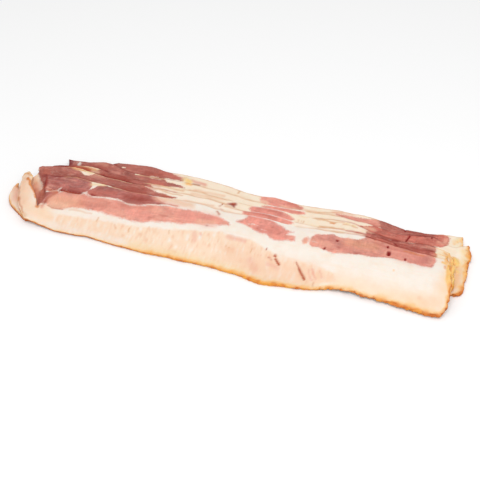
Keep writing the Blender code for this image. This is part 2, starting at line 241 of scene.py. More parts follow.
slices["slice_middle"] = {
    "seed": 3,
    "fat": "oldFat",
    "corners": ((-114.4, -19.9), (128.1, -19.4), (123.6, 11.1), (-119.1, 15.5)),
    "shift": (-6, 9),
    "shown": 11,
    "rind": [(-120, 0.3, 1.5, 0.5), (0, 1, 3, 0.3), (120, 1.6, 3.5, 0.4)],
    "endRind": [(-18, 2.4, 0.3), (-10, 3, -0.2), (0, 3, -0.3), (6, 2.4, -0.2), (11, 1.2, 0)],
    "muscles": [
        ("red", (-128, 22), (-112, 22), (-103.4, 21), (-100.6, 19.8), (-96.6, 19), (-91.8, 19.4),
         (-89.4, 20.4), (-88, 22), (-84, 23), (-60, 22), (-57, 18), (-55, 15), (-50, 12), (-45, 9),
         (-60, 4), (-90, 4), (-122, 3), (-131, 10)),
        ("rosy", (7, 13.6), (10, 16.6), (15, 17.6), (26, 16), (31, 13.8), (34.8, 11.6), (31, 9.5), (20, 9),
         (10, 9.5)),
        ("red", (76, 14), (81, 16.5), (84, 18), (100, 16), (112, 16.5), (116, 13), (116.5, 9), (113, 4),
         (95, 3), (80, 6)),
    ],
    "seams": [(0.5, (-66, 18.4), (-55, 16.4), (-45, 16))],
    "washes": [
        ("straw", 0.6, 1.6, (-100, 18.6), (-92, 19)), ("gold", 0.6, 0.9, (-98, 18), (-93, 18.4)),
        ("brick", 0.75, 1.3, (-103, 16.4), (-99, 17), (-94, 16.8)),
        ("coral", 0.6, 1, (-99, 19.4), (-93, 19.8)), ("dark", 0.6, 3, (-119, 14.6), (-110, 15.6)),
        ("dark", 0.8, 3.5, (-120, 15), (-108, 16), (-92, 14.5), (-70, 15)),
        ("deep", 0.6, 3, (-120, 14.5), (-112, 15.5)), ("rust", 0.65, 3.2, (-104, 17), (-97, 16.6)),
        ("peach", 0.6, 1.4, (-94, 17), (-90, 16.8)), ("peach", 0.5, 1.4, (76, 14.2), (80, 14.4)),
        ("dark", 0.6, 0.7, (-101, 18), (-95, 17.4)), ("tan", 0.6, 0.8, (-55, 17), (-45, 15.6), (-35, 16)),
        ("brick", 0.5, 1.8, (-56, 16.4), (-50, 16)), ("tan", 0.6, 0.6, (50, 15), (62, 17)),
        ("tan", 0.7, 0.5, (46, 15.3), (52, 15.9), (57.5, 15.3)),
        ("orange", 0.9, 0.8, (55.3, 14.6), (56.6, 14.4)), ("tan", 0.6, 0.8, (50, 10), (63, 11.5)),
        ("straw", 0.8, 0.8, (63, 16.6), (65.5, 17)), ("straw", 0.8, 0.7, (67.5, 16.4), (69, 16.4)),
        ("tan", 0.7, 0.45, (62, 15.6), (66, 15.8), (70.5, 15.2)), ("mauve", 0.6, 0.8, (70, 10.5), (80, 12)),
        ("deep", 0.7, 0.8, (80, 13.2), (81.4, 13.2)), ("deep", 0.35, 2, (84, 13.5), (108, 14)),
        ("deep", 0.8, 0.8, (92, 11.5), (94.4, 11.7)), ("straw", 0.5, 3, (120, 9), (121, 3)),
        ("gold", 0.6, 0.9, (121, 10), (123.3, 8.3)), ("orange", 0.4, 1.8, (122, 9), (124.4, 6.4)),
        ("salmon", 0.45, 2, (111, 13), (116, 12)), ("brown", 0.8, 0.7, (125.2, 2.6), (124.8, 0.8)),
        ("yellow", 0.9, 2, (126.6, 0), (127.6, -7)), ("orange", 0.7, 0.7, (130, -11), (129.4, -14)),
        ("orange", 0.6, 0.6, (124.6, 3), (126.4, 2.6), (128.4, 3)),
        ("brick", 0.65, 2.6, (12, 16.5), (18, 16), (24, 14.6)),
        ("peach", 0.6, 1.2, (-30, 15.5), (-10, 15.5)), ("tan", 0.45, 0.4, (37.2, 12), (37.3, 9.6)),
        ("tan", 0.4, 0.4, (38.6, 12), (38.7, 9.6)), ("tan", 0.6, 0.45, (40, 11.9), (40.1, 9.6)),
        ("brick", 0.7, 1.3, (-6, 12.8), (-1.6, 14)), ("dark", 0.95, 1.3, (-4.6, 13), (-2.6, 13.6)),
        ("dark", 0.9, 1, (-3.2, 12.6), (-2.1, 11)),
    ],
    "cuts": [(0.6, 0.5, (-3.6, 14), (-2.4, 14.3))],
    "lumps": [
        (0.5, 0.9, (64.2, 17)), (0.5, 0.8, (68, 16.6)), (1.2, 1.4, (128.8, -13.4)), (1.8, 1.8, (128.9, -9)),
        (1.7, 2, (127.8, -1.6)), (0.7, 1, (126, 5.4)),
    ],
    "edge": [
        (-121, -104, "deep", 0.5), (-104, -90, "straw", 0.5), (-90, -60, "dark", 0.4),
        (-60, -36, "straw", 0.7), (-36, -7, "tan", 0.65), (0, 8, "tan", 0.6), (8, 36, "white", 0.7),
        (36, 44, "straw", 0.5), (44, 60, "tan", 0.9), (60, 80, "brick", 0.7), (80, 115, "dark", 0.6),
        (116, 125, "gold", 0.7),
    ],
    "shadeAndStainBehindRim": [
        (-88, -58, "deep", 1), (-58, -38, "brick", 0.8), (-38, -6, "tan", 0.5), (40, 50, "straw", 0.4),
        (50, 66, "tan", 0.6), (66, 80, "brick", 0.8), (80, 116, "dark", 0.7),
    ],
}
slices["slice_second"] = {
    "seed": 2,
    "fat": "innerFat",
    "corners": ((-135.8, -2.9), (124.6, -21.9), (122.6, 5.7), (-125, 10.3)),
    "turn": (-116.8, -30.3),                                # where the flap's outer edge meets the rind
    "tear": ((-134.8, -2.7), (-124.5, -9), (-125.8, 9.5)),  # flap tip, bottom of the tear, lean tip
    "seam": ((-52, -7), (8, -8), (68, -6)),                 # the line on from the tear
    "shift": (-4, 3),
    "frontPitch": 0.8,
    "rind": [
        (-135, 1.5, 1, 1), (-117, 1.3, 1, 1), (-60, 0.6, 1.5, 0.5), (0, 1, 3, 0.3), (120, 1.6, 3.5, 0.4),
    ],
    "endRind": [(-22, 1.6, 0.2), (-10, 1.6, -0.3), (6, 1.2, -0.1)],
    "muscles": [
        ("red", (-128, 14), (-125.4, 10), (-123.9, 5.4), (-120.2, -0.8), (-115.5, -5.8), (-114.6, -8.4),
         (-115.4, -11), (-116, -15), (-114.6, -17.6), (-112, -20.5), (-108, -22), (-102, -15), (-95, -8),
         (-80, -5), (-60, -2), (-47, 2), (-40, 4.4), (-35, 5.6), (-41, 6.8), (-47, 7), (-52, 8.2),
         (-57, 10.5), (-59, 14), (-66, 14), (-88, 14), (-90.5, 10.6), (-94, 8.8), (-98, 10.8), (-101, 12.2),
         (-105, 13.2), (-110, 13.6), (-114, 16)),
        ("rosy", (4.5, 6.8), (9.5, 8.7), (14, 9.5), (31, 7.3), (35.7, 5), (33, 3), (26, 2), (17, 1.5),
         (8, 2.5)),
        ("brick", (74, 6), (79, 7.5), (80, 12), (100, 9.5), (114, 9), (117.5, 5), (116.5, -1), (100, -5),
         (84, -4), (76, 0)),
    ],
    "seams": [(0.3, (-46, 8), (-40, 6.6))],
    "washes": [
        ("peach", 1, 7, (-132, -4), (-128, -12), (-121, -18)), ("salmon", 0.6, 4, (-132, -6), (-129, -15)),
        ("coral", 1, 3.4, (-121, -6), (-117, -13)), ("flap", 0.9, 3.4, (-127, 5), (-123.4, -1.6)),
        ("tan", 0.4, 4, (-121, -5), (-118, -10)), ("brick", 0.45, 2.4, (-118.6, -10.6), (-116.4, -14)),
        ("rust", 0.4, 3, (-114.6, -7), (-113, -14)),
        ("deep", 0.6, 1.2, (-123.2, 5.4), (-119, -0.8), (-115, -6)),
        ("dark", 0.4, 1, (-115.4, -11), (-112.5, -20)), ("orange", 0.9, 1.2, (-135.5, -3), (-133, -5.5)),
        ("orange", 0.6, 0.9, (-133, -5.5), (-130.5, -9)),
        ("brown", 0.6, 1, (-132, -19), (-126, -26), (-118, -29.5)), ("dark", 0.35, 4, (-108, 4), (-100, 3)),
        ("rust", 0.6, 0.8, (-46, 6.2), (-37, 5.6)), ("brick", 0.5, 2, (-56, 9.6), (-51, 9)),
        ("dark", 0.6, 3.5, (-68, 4), (-56, 5.4)), ("rust", 0.3, 3, (-122, 8), (-118, 4)),
        ("salmon", 0.35, 2, (-91, 9.8), (-86, 9.6)),
        ("straw", 0.8, 1.6, (-104, 13.6), (-98, 12.8), (-92, 12)),
        ("orange", 0.7, 0.8, (-109, 13.6), (-103, 13.2), (-96, 12)),
        ("tan", 0.7, 0.7, (-50, 10), (-40, 8.4), (-33, 9)), ("brick", 0.7, 2.4, (9, 8), (16, 8), (24, 6.5)),
        ("peach", 0.6, 0.9, (-30, 5.4), (-12, 5.6)), ("brown", 0.5, 0.6, (-8.9, 6.6), (-8.5, 5.6)),
        ("brick", 0.5, 0.8, (-7.4, 3.9), (-6.3, 3.2)), ("tan", 0.6, 0.8, (-6, 7.2), (4, 6)),
        ("tan", 0.5, 0.8, (-6, 3), (5, 2.4)), ("brown", 0.65, 0.6, (50, 5.9), (55, 6.9), (60, 7.8)),
        ("brick", 0.75, 0.9, (66, 8), (74, 8.6), (79, 7.6)), ("deep", 0.4, 1.8, (95, 5.2), (113, 5)),
        ("deep", 0.85, 0.9, (93.4, 6), (95.3, 4.6)), ("straw", 0.5, 3, (119, 3), (120, -4)),
        ("gold", 0.6, 0.9, (120, 5.6), (123.5, 4)), ("orange", 0.7, 0.7, (122.4, 5.8), (123.6, 2.4)),
    ],
    "cuts": [(0.3, 0.3, (-8, 9), (-8.4, 7))],
    "lumps": [],
    "edge": [
        (-126, -108, "rust", 0.6), (-108, -97, "straw", 0.9), (-97, -64, "straw", 0.75),
        (-64, -40, "tan", 0.7), (-40, 5, "tan", 0.65), (8, 36, "white", 0.75), (36, 50, "tan", 0.7),
        (50, 60, "orange", 0.5), (60, 80, "brick", 0.7), (80, 116, "dark", 0.7), (116, 124, "gold", 0.6),
    ],
    "shadeAndStainBehindRim": [
        (-122, -92, "deep", 0.5), (-92, -66, "dark", 0.4), (-66, -48, "dark", 0.6),
        (-46, -30, "orange", 0.5), (-30, -8, "tan", 0.3), (2, 10, "orange", 0.3), (38, 48, "tan", 0.3),
        (48, 76, "tan", 0.5), (76, 117, "dark", 0.7),
    ],
}
slices["slice_top"] = {
    "seed": 1,
    "fat": "fat",
    "corners": ((-132.3, 1.1), (127.2, -33.9), (123.6, -0.4), (-115.8, -0.7)),
    "turn": (-115.9, -31.7),
    "tear": ((-124.6, -1.9), (-111, -23), (-112.2, -10.4)),
    "seam": ((-52, -16), (8, -15), (68, -14.5)),
    "shift": (0, 0),
    "frontPitch": 0.56,
    "rind": [
        (-130, 0.6, 0.8, 0.7), (-115, 0.5, 1, 0.75), (-60, 0.3, 1.4, 0.6), (-45, 0.9, 3, 0.3),
        (-20, 1.4, 3.5, 0.3), (0, 1.2, 3.5, 0.25), (31, 3, 3, 0.35), (42, 2.2, 3, 0.2), (58, 1.3, 3.5, 0.3),
        (70, 1.1, 4.5, 0.4), (100, 2, 6, 0.55), (127, 2.5, 5, 0.55),
    ],
    "endRind": [(-34, 2.2, 0.7), (-20, 2.2, 0.5), (-15.6, 2.6, 0), (-6, 2.4, -0.1), (0, 1.2, 0.2)],
    "muscles": [
        ("mauve", (-121, 1), (-116, 5), (-100, 6), (-90, 4), (-86.6, 1), (-85.6, -1.6), (-85.2, -4.2),
         (-85.2, -6), (-85.6, -7.6), (-87.4, -9), (-92, -10), (-101, -10.2), (-104, -10.9), (-107, -11.8),
         (-109.5, -12.6), (-113, -13), (-118, -8)),
        ("mauve", (-113, -13.6), (-108.4, -13.2), (-105, -12.2), (-101.8, -12), (-102.2, -13.6),
         (-104.2, -16), (-106.4, -19), (-108.4, -20.8), (-112, -19)),
        ("mauve", (-85.3, -6.6), (-84.4, -5.4), (-83, -3.7), (-82.2, -1.6), (-79.3, 0), (-73, 0.9),
         (-68, 1.5), (-64, 4), (-50, 4), (-46, 0.4), (-42.5, -2.6), (-38, -4), (-31, -3.4), (-30, -3.9),
         (-36, -4.7), (-40, -5.4), (-44, -6.4), (-49.7, -8.2), (-55, -9.4), (-60, -9.9), (-62, -9.5),
         (-65.8, -8.5), (-70, -8.5), (-75, -9.1), (-80, -9.3), (-84, -9.6), (-85.2, -8.6)),
        ("rosy", (4.8, -5.8), (8, -3.6), (10, -1.5), (9.5, 4), (23, 4), (27, -0.8), (31, -2), (34, -4),
         (38.5, -5.3), (36, -6.5), (35, -8), (38, -8), (41, -8.7), (40.5, -11), (37, -12), (33, -13),
         (30, -13), (27, -12.3), (24, -10.8), (20, -10.3), (16, -9.5), (13, -8), (9, -6.6)),
        ("salmon", (45.2, -8), (46.5, -6.6), (47.8, -8), (47.6, -11), (46, -12), (45, -10.4)),
        ("brownPink", (49, -7), (50, -4), (52, -2.8), (56, -1.5), (59, -0.3), (62, -0.5), (66, -1.3),
         (70, -0.5), (75, 0.8), (78, 3), (80, 7), (98, 6), (113, 3), (116.4, -0.8), (117.8, -3), (118, -6),
         (116.5, -9), (113, -10), (108, -9.7), (100, -9.2), (95, -9.3), (91, -9.8), (85, -10.7),
         (78, -11.3), (71, -12), (67, -13), (62, -13.7), (58, -12.8), (55, -12.3), (50, -12.3),
         (48.7, -9.5)),
    ],
    "seams": [
        (0.22, (-85.3, -9), (-85, -6.6), (-84.6, -5)), (0.5, (-102.3, -8.6), (-103, -11.5)),
        (0.12, (12, -5.8), (15, -5.2), (18, -5.6)), (0.1, (20, -7.6), (24.5, -8.7)),
        (0.36, (-84, -10.2), (-75.6, -9.5), (-65.8, -8.9), (-62, -9.9), (-60, -10.3), (-55, -9.8),
         (-49.7, -8.6), (-41, -6), (-38, -5.2), (-29.8, -4.3)),
        (0.25, (50.5, -9), (53, -8.8)),
    ],
    "washes": [
        ("straw", 0.4, 3.5, (-50, -33), (-10, -33), (15, -34)),
        ("fat", 0.7, 2.2, (-108, -29.8), (-92, -31.8), (-79, -31.4), (-66, -31.8), (-53, -32.4)),
        ("cream", 0.8, 5, (108, -31), (124, -27), (126, -15)),
        ("cream", 0.6, 5, (70, -27), (90, -28), (110, -29)),
        ("peach", 0.55, 7, (8, -25), (30, -29), (55, -28)),
        ("flap", 0.85, 6, (-131, 0), (-125, -10), (-120, -22)), ("flap", 0.7, 5, (-112, -26), (-106, -27)),
        ("peach", 0.2, 9, (-100, -31), (-60, -30)), ("peach", 0.6, 2, (-129, -4), (-125, -16), (-121, -22)),
        ("cream", 0.8, 5, (-115, -25), (-104, -27)), ("orange", 0.9, 0.9, (-131.5, 1.5), (-128.5, 0)),
        ("orange", 0.6, 0.8, (-128.5, 0), (-125, -2)), ("rust", 0.85, 1, (-126.4, -3.8), (-126, -4.8)),
        ("orange", 0.95, 1.1, (-126.5, -4), (-124, -6.5), (-121.6, -9)),
        ("orange", 0.95, 1.1, (-121, -10), (-117.6, -13.4), (-114, -18)),
        ("brown", 0.7, 1, (-125.2, -18.6), (-124.6, -20.4)),
        ("brown", 0.6, 0.7, (-128.6, -11), (-127, -15), (-124.6, -21), (-118, -28.6)),
        ("orange", 0.8, 0.7, (-114, -17.5), (-112.2, -21.5)),
        ("orange", 0.8, 0.9, (-111.5, -23), (-110.6, -23.2)),
        ("rust", 0.55, 0.9, (-108.4, -22.6), (-107.8, -21)), ("coral", 0.6, 1.4, (-108, -23)),
        ("deep", 0.9, 1, (-102, -10.6), (-98, -10.6), (-94.7, -10.3), (-88.6, -9.9)),
        ("dark", 0.8, 1, (-111.8, -10.4), (-113.2, -5.5), (-115.4, -1.2)),
        ("dark", 0.25, 2.4, (-109.6, -16.5), (-107.2, -14)),
        ("salmon", 0.4, 0.6, (-109.6, -11.9), (-106, -12.4), (-103.4, -11.8)),
        ("rust", 0.7, 0.55, (-105.2, -21.8), (-100, -22.5), (-95, -22.1)),
        ("rust", 0.85, 0.9, (-107.4, -20), (-106.4, -17), (-104.8, -14.2), (-102.8, -12.6)),
        ("rust", 0.65, 1.8, (-112.6, -10.8), (-111.6, -16), (-111, -21.5)),
        ("rust", 0.7, 1.2, (-107.8, -12), (-103.8, -11.8)), ("tan", 0.6, 2, (-118.4, -29), (-116, -30.6)),
        ("blood", 0.6, 0.7, (-107.4, -20), (-106.4, -17), (-104.8, -14.2)),
        ("tan", 0.35, 0.5, (-91, -22.2), (-87, -21.1), (-77.5, -20.8)),
        ("mauve", 0.3, 2.5, (-62, -12), (-58, -12)), ("salmon", 0.85, 4.4, (-103, -17), (-90, -16)),
        ("salmon", 0.3, 2.2, (-84, -13.6), (-74, -14)), ("brick", 0.4, 1.6, (-87, -11.4), (-75, -10.8)),
        ("tan", 0.22, 4, (-102, -18), (-86, -17)), ("salmon", 0.6, 1.6, (-46, -11), (-38, -10)),
        ("salmon", 0.45, 1.8, (-70, -16), (-60, -17)),
        ("brick", 0.35, 3, (-86, -16), (-76, -15), (-66, -13)),
        ("brick", 0.4, 2.2, (-62, -12.4), (-52, -11.4), (-45, -9.6)),
        ("brick", 0.3, 2.6, (11, 0), (18, -0.6)), ("peach", 0.5, 2.2, (60, -27.6), (67, -27)),
        ("straw", 0.7, 1.3, (-85.6, -1.6), (-83, -0.4), (-79, 0.4)),
        ("peach", 0.8, 3, (-44, -0.8), (-34, -0.6), (-24, -1.2)),
        ("coral", 0.5, 1.8, (-47, -1.6), (-40, -3)), ("rosy", 0.7, 5, (-24, -10), (-8, -9)),
        ("peach", 0.4, 2.2, (-15, -11.8), (-7, -10)), ("peach", 0.5, 2.4, (-103, -20.4), (-94, -19.6)),
        ("peach", 0.4, 4, (117, -30.6), (125, -29)), ("rosy", 0.5, 2.4, (-56, -15), (-46, -15)),
        ("dark", 0.55, 4, (-62, -5), (-49, -4)), ("dark", 0.4, 2.5, (-58, -6), (-52, -5)),
        ("brick", 0.6, 2.6, (-84, -8), (-70, -4.5)), ("dark", 0.35, 1.6, (-104, -8.8), (-88, -8.4)),
        ("salmon", 0.7, 0.8, (-110.4, -10.2), (-108, -10.8)), ("dark", 0.3, 2, (-112, -3), (-106, -7)),
        ("coral", 0.5, 1.5, (-40, -3.6), (-31, -3.8)), ("brick", 0.4, 3, (26, -6.6), (30, -7)),
        ("rust", 0.8, 0.6, (-7.9, -1), (-7, -2.4)), ("rust", 0.8, 0.6, (-6.8, -2.8), (-6, -4)),
        ("peach", 0.9, 0.45, (-42, -21.5), (-41.2, -23.8)),
        ("peach", 0.6, 0.4, (-39.5, -22), (-38.5, -24.5)), ("tan", 0.8, 0.5, (-53, -24.5), (-52.5, -26)),
        ("tan", 0.7, 0.45, (-73, -22), (-72.8, -24)), ("tan", 0.5, 0.45, (-62, -24), (-61, -26)),
        ("tan", 0.6, 0.45, (-30, -21), (-29.6, -22.5)),
        ("blood", 0.75, 0.55, (-10.2, -13.1), (-9.6, -13.1)),
        ("coral", 0.6, 0.45, (-13, -13.2), (-6.5, -13)),
        ("coral", 0.5, 1.5, (4, -17.2), (10, -17), (14, -17.6)),
        ("coral", 0.4, 1.8, (-15.5, -19.5), (-14, -22.6)),
        ("coral", 0.5, 0.8, (-12.4, -18.4), (-11.4, -19.4)), ("tan", 0.6, 0.6, (4.6, -22.4)),
        ("tan", 0.5, 0.5, (6.5, -22.8)), ("tan", 0.55, 0.4, (19.2, -20.6), (18.8, -22.9)),
        ("coral", 0.5, 0.6, (24.7, -23.6)), ("brick", 0.6, 0.5, (29.3, -23.8), (31.5, -24.8)),
        ("coral", 0.4, 1.2, (30, -26.5), (36, -27.5)), ("coral", 0.3, 2.5, (20, -27), (24, -31)),
        ("rust", 0.9, 0.6, (48, -26), (50.4, -28.8), (51.8, -30.2)),
        ("coral", 0.7, 0.5, (55, -25), (58, -29)), ("rust", 0.5, 0.5, (57, -31), (57.3, -33.5)),
        ("coral", 0.6, 0.4, (53, -25.4), (56, -30)), ("coral", 0.5, 0.4, (58.6, -25), (61, -28)),
        ("mauve", 0.5, 1, (104, -1), (103.6, -3)), ("mauve", 0.5, 1, (65.5, -10)),
        ("mauve", 0.5, 0.8, (74.6, -1.4), (75.4, -3)), ("mauve", 0.75, 2.6, (109.6, -7), (113, -5)),
        ("salmon", 0.6, 1.8, (116, -6)), ("mauve", 0.22, 6, (96, -3), (112, -5)),
        ("mauve", 0.25, 3, (60, -5), (70, -9)), ("salmon", 0.6, 2.4, (50, -8), (60, -9)),
        ("brick", 0.5, 1.2, (84, 0), (98, -1.6), (112, -2.6)), ("salmon", 0.5, 0.6, (94, -3), (104, -3.6)),
        ("rosy", 0.45, 5, (98, -5), (110, -6)), ("tan", 0.3, 4, (70, -4), (84, -3)),
        ("salmon", 0.7, 0.6, (91.2, -4), (91, -7.4)), ("orange", 0.55, 0.6, (100, -1.3), (111, -2.1)),
        ("gold", 0.5, 0.7, (97.6, -16.3)), ("peach", 0.7, 1.3, (114.5, -28)),
        ("yellow", 1, 1.6, (126, -7.6), (127.4, -16)), ("gold", 0.5, 0.7, (125.4, -10.4), (127.2, -18)),
        ("gold", 0.9, 0.9, (121.6, -4), (123, -4.4)), ("orange", 0.8, 0.8, (123.4, -6.6), (123.9, -7.8)),
        ("orange", 0.6, 0.8, (128.6, -19), (129, -27)),
    ],
    "cuts": [
        (0.8, 0.55, (-101.5, -10.3), (-95, -10.5), (-89, -10.3)), (0.5, 0.5, (-82.6, -8.9), (-80.4, -9)),
        (0.4, 0.28, (44.9, -22.5), (48.4, -26.2)), (0.6, 0.5, (47.6, -25.4), (51.5, -30)),
        (0.5, 0.6, (51, -29.6), (51.8, -30.2)), (0.6, 0.6, (33.4, -23.6), (36.2, -25.6)),
        (0.5, 0.6, (32.4, -21.9), (33, -22)), (0.3, 0.5, (27, -19.3)), (0.7, 0.85, (63.3, -4.2)),
        (1.1, 1, (92.5, -4.7), (92.6, -6.6)), (0.6, 0.6, (91, -0.2), (91.2, -1)),
        (0.4, 0.5, (58, -11.6), (57.8, -12.4)), (0.5, 0.5, (102, -7.2), (102, -8.4)),
    ],
    "lumps": [
        (0.6, 1, (122.6, -4.4)), (0.6, 1, (123.8, -7.2)), (0.9, 1.5, (126.3, -9), (126.7, -10.6)),
        (1, 1.5, (127.2, -13.4), (127.6, -15)), (0.35, 0.9, (-86, -9.9)),
    ],
    "edge": [
        (-132, -117, "orange", 0.3), (-117, -104, "deep", 0.6), (-104, -88, "tan", 0.8),
        (-88, -66, "straw", 0.7), (-66, -50, "tan", 0.6), (-50, -34, "white", 0.7), (-34, -9, "tan", 0.65),
        (-6, 9, "orange", 0.5), (10, 38, "white", 0.75), (38, 50, "tan", 0.5), (50, 66, "tan", 0.9),
        (66, 80, "brick", 0.5), (80, 116, "brown", 0.35), (116, 125, "tan", 0.8),
    ],
}


def linear(name):
    # a palette colour as the renderer counts it
    screen = np.array(palette[name]) / 255
    lit = np.where(screen <= 0.04045, screen / 12.92, ((screen + 0.055) / 1.055) ** 2.4)
    return np.maximum(lit - exposure["shine"], 0.002) / exposure["gain"]


def ripple(x, y, size, seed):
    # smooth seeded unevenness between -1 and 1, its bumps about size across
    side = 199
    dots = np.random.default_rng(seed).uniform(-1, 1, (side, side))
    px = x / size + 500.0
    py = y / size + 500.0
    i = np.floor(px).astype(int)
    j = np.floor(py).astype(int)
    u = px - i
    v = py - j
    u = u * u * (3 - 2 * u)
    v = v * v * (3 - 2 * v)
    near, far = (dots[i % side, row % side] * (1 - u) + dots[(i + 1) % side, row % side] * u
                 for row in (j, j + 1))
    return near * (1 - v) + far * v


def stepLengths(points):
    return np.hypot(*np.diff(points, axis=0).T)


def along(knots, shares):
    # points at the given shares of a smooth curve through the knots
    steps = stepLengths(knots)
    length = np.concatenate([[0.0], np.cumsum(steps)])
    slopes = np.gradient(knots, length, axis=0)
    wanted = np.clip(shares, 0, 1) * length[-1]
    i = np.clip(np.searchsorted(length, wanted, side="right") - 1, 0, len(steps) - 1)
    span = steps[i][:, None]
    t = ((wanted - length[i]) / steps[i])[:, None]
    return ((2 * t**3 - 3 * t**2 + 1) * knots[i] + (t**3 - 2 * t**2 + t) * span * slopes[i]
            + (3 * t**2 - 2 * t**3) * knots[i + 1] + (t**3 - t**2) * span * slopes[i + 1])


def closedCurve(knots):
    # a smooth closed outline through the knots, with a point each millimetre
    ring = np.array(knots + knots[:3], float)
    size = stepLengths(ring)
    curve = along(ring, np.linspace(0, 1, int(size.sum())))
    reach = size[0] / size.sum(), 1 - size[-1] / size.sum()
    first, last = (int(share * len(curve)) for share in reach)
    return curve[first:last]


def lineDistance(points, line):
    # distance to a line of points
    line = np.asarray(line, float)
    if len(line) == 1:
        return np.hypot(*(points - line[0]).T)
    best = np.full(len(points), 1e9)
    for a, b in zip(line[:-1], line[1:]):
        ab = b - a
        t = np.clip((points - a) @ ab / max(ab @ ab, 1e-9), 0, 1)
        best = np.minimum(best, np.hypot(*(points - a - t[:, None] * ab).T))
    return best


def around(points, line, margin):
    # the points in the line's box, with a margin
    line = np.asarray(line, float)
    return ((points > line.min(0) - margin) & (points < line.max(0) + margin)).all(1)


def depthInside(points, knots, limit=5.0):
    # how far each point lies inside a closed outline, negative outside
    ring = closedCurve(knots)
    found = np.full(len(points), -limit)
    near = around(points, ring, limit)
    some = points[near]
    best = lineDistance(some, np.vstack([ring, ring[:1]]))
    inside = np.zeros(len(some), bool)
    for a, b in zip(ring, np.roll(ring, -1, axis=0)):
        crossing = (a[1] > some[:, 1]) != (b[1] > some[:, 1])
        if crossing.any():
            inside ^= crossing & (some[:, 0] < a[0] + (some[:, 1] - a[1]) * (b[0] - a[0]) / (b[1] - a[1]))
    found[near] = np.clip(np.where(inside, best, -best), -limit, limit)
    return found


def stroke(points, line, reach):
    # 1 on a line, fading to 0 at its reach
    mask = np.zeros(len(points))
    near = around(points, line, reach)
    if near.any():
        fade = np.clip(1 - lineDistance(points[near], line) / reach, 0, 1)
        mask[near] = fade * fade * (3 - 2 * fade)
    return mask


# The CAD slices' rims and heights
def rimAndTree(node):
    # a CAD slice's upper rim in the plan, anticlockwise in mm, and the slice as something to shoot at
    mesh = bmesh.new()
    mesh.from_mesh(node.data)
    bmesh.ops.remove_doubles(mesh, verts=mesh.verts, dist=1e-6)
    bmesh.ops.scale(mesh, verts=mesh.verts, vec=(1 / mm, 1 / mm, 1 / mm))
    mesh.normal_update()
    rim = [edge for edge in mesh.edges if sum(face.normal.z > 0.01 for face in edge.link_faces) == 1]
    links = {}
    for edge in rim:
        for vert, other in (edge.verts, reversed(edge.verts)):
            links.setdefault(vert, []).append(other)
    start = rim[0].verts[0]
    loop = [start, links[start][0]]
    while loop[-1] != start:
        loop.append(next(vert for vert in links[loop[-1]] if vert != loop[-2]))
    plan = np.array([vert.co.xy for vert in loop[:-1]])
    area = np.sum(plan[:, 0] * np.roll(plan[:, 1], -1) - plan[:, 1] * np.roll(plan[:, 0], -1))
    tree = BVHTree.FromBMesh(mesh)
    mesh.free()
    return (plan if area > 0 else plan[::-1]), tree


def stretch(loop, start, end):
    # the rim from one corner to the next
    i, j = (int(np.argmin(np.hypot(*(loop - corner).T))) for corner in (start, end))
    return loop[i:j + 1] if i < j else np.vstack([loop[i:], loop[:j + 1]])


def blurred(field, times):
    for _ in range(times):
        wide = np.pad(field, 1, mode="edge")
        field = (wide[:-2, 1:-1] + wide[2:, 1:-1] + wide[1:-1, :-2] + wide[1:-1, 2:] + 2 * field) / 6
    return field


def heightFields(tree, low, high):
    # heights of the CAD slice's upper and lower faces on a 1 mm grid, spread a little past its rim
    xs = np.arange(low[0], high[0] + 1)
    ys = np.arange(low[1], high[1] + 1)
    fields = []
    clear = 100.0                # well above or below the slice
    for start, way in ((clear, -1.0), (-clear, 1.0)):
        hits = [[tree.ray_cast((x, y, start), (0, 0, way))[0] for y in ys] for x in xs]
        field = np.array([[hit.z if hit else np.nan for hit in row] for row in hits])
        while np.isnan(field).any():
            wide = np.pad(field, 1, constant_values=np.nan)
            stack = np.stack([wide[i:i + len(xs), j:j + len(ys)] for i in range(3) for j in range(3)])
            known = ~np.isnan(stack)
            count = known.sum(0)
            mean = np.where(known, stack, 0).sum(0) / np.maximum(count, 1)
            field = np.where(np.isnan(field) & (count > 0), mean, field)
        fields.append(blurred(field, 3))
    return fields


def heightAt(field, low, points):
    # height on a 1 mm grid, blended between its corners
    place = points - low
    cell = np.clip(np.floor(place).astype(int), 0, np.array(field.shape) - 2)
    u, v = (place - cell).T
    i, j = cell.T
    return ((1 - u) * (1 - v) * field[i, j] + u * (1 - v) * field[i + 1, j]
            + (1 - u) * v * field[i, j + 1] + u * v * field[i + 1, j + 1])


# A slice's sheet: a fine grid stretched between the borders of its rim
def spread(length, pitch, fineFrom=None, startRim=True, endRim=True):
    # shares along a length, close together at its rims; before fineFrom the pitch is the hidden one
    steps = np.array(sheetForm["rimSteps"])
    low = steps[-1] if startRim else 0.0
    high = length - (steps[-1] if endRim else 0.0)
    if fineFrom is None:
        middle = np.linspace(low, high, max(int((high - low) / pitch), 2) + 1)
    else:
        coarse = np.linspace(low, fineFrom, int((fineFrom - low) / sheetForm["hiddenPitch"]) + 1)
        fine = np.linspace(fineFrom, high, int((high - fineFrom) / pitch) + 1)
        middle = np.concatenate([coarse[:-1], fine])
    parts = [middle]
    if startRim:
        parts.insert(0, np.concatenate([[0.0], steps[:-1]]))
    if endRim:
        parts.append(np.concatenate([length - steps[:-1][::-1], [length]]))
    return np.concatenate(parts) / length


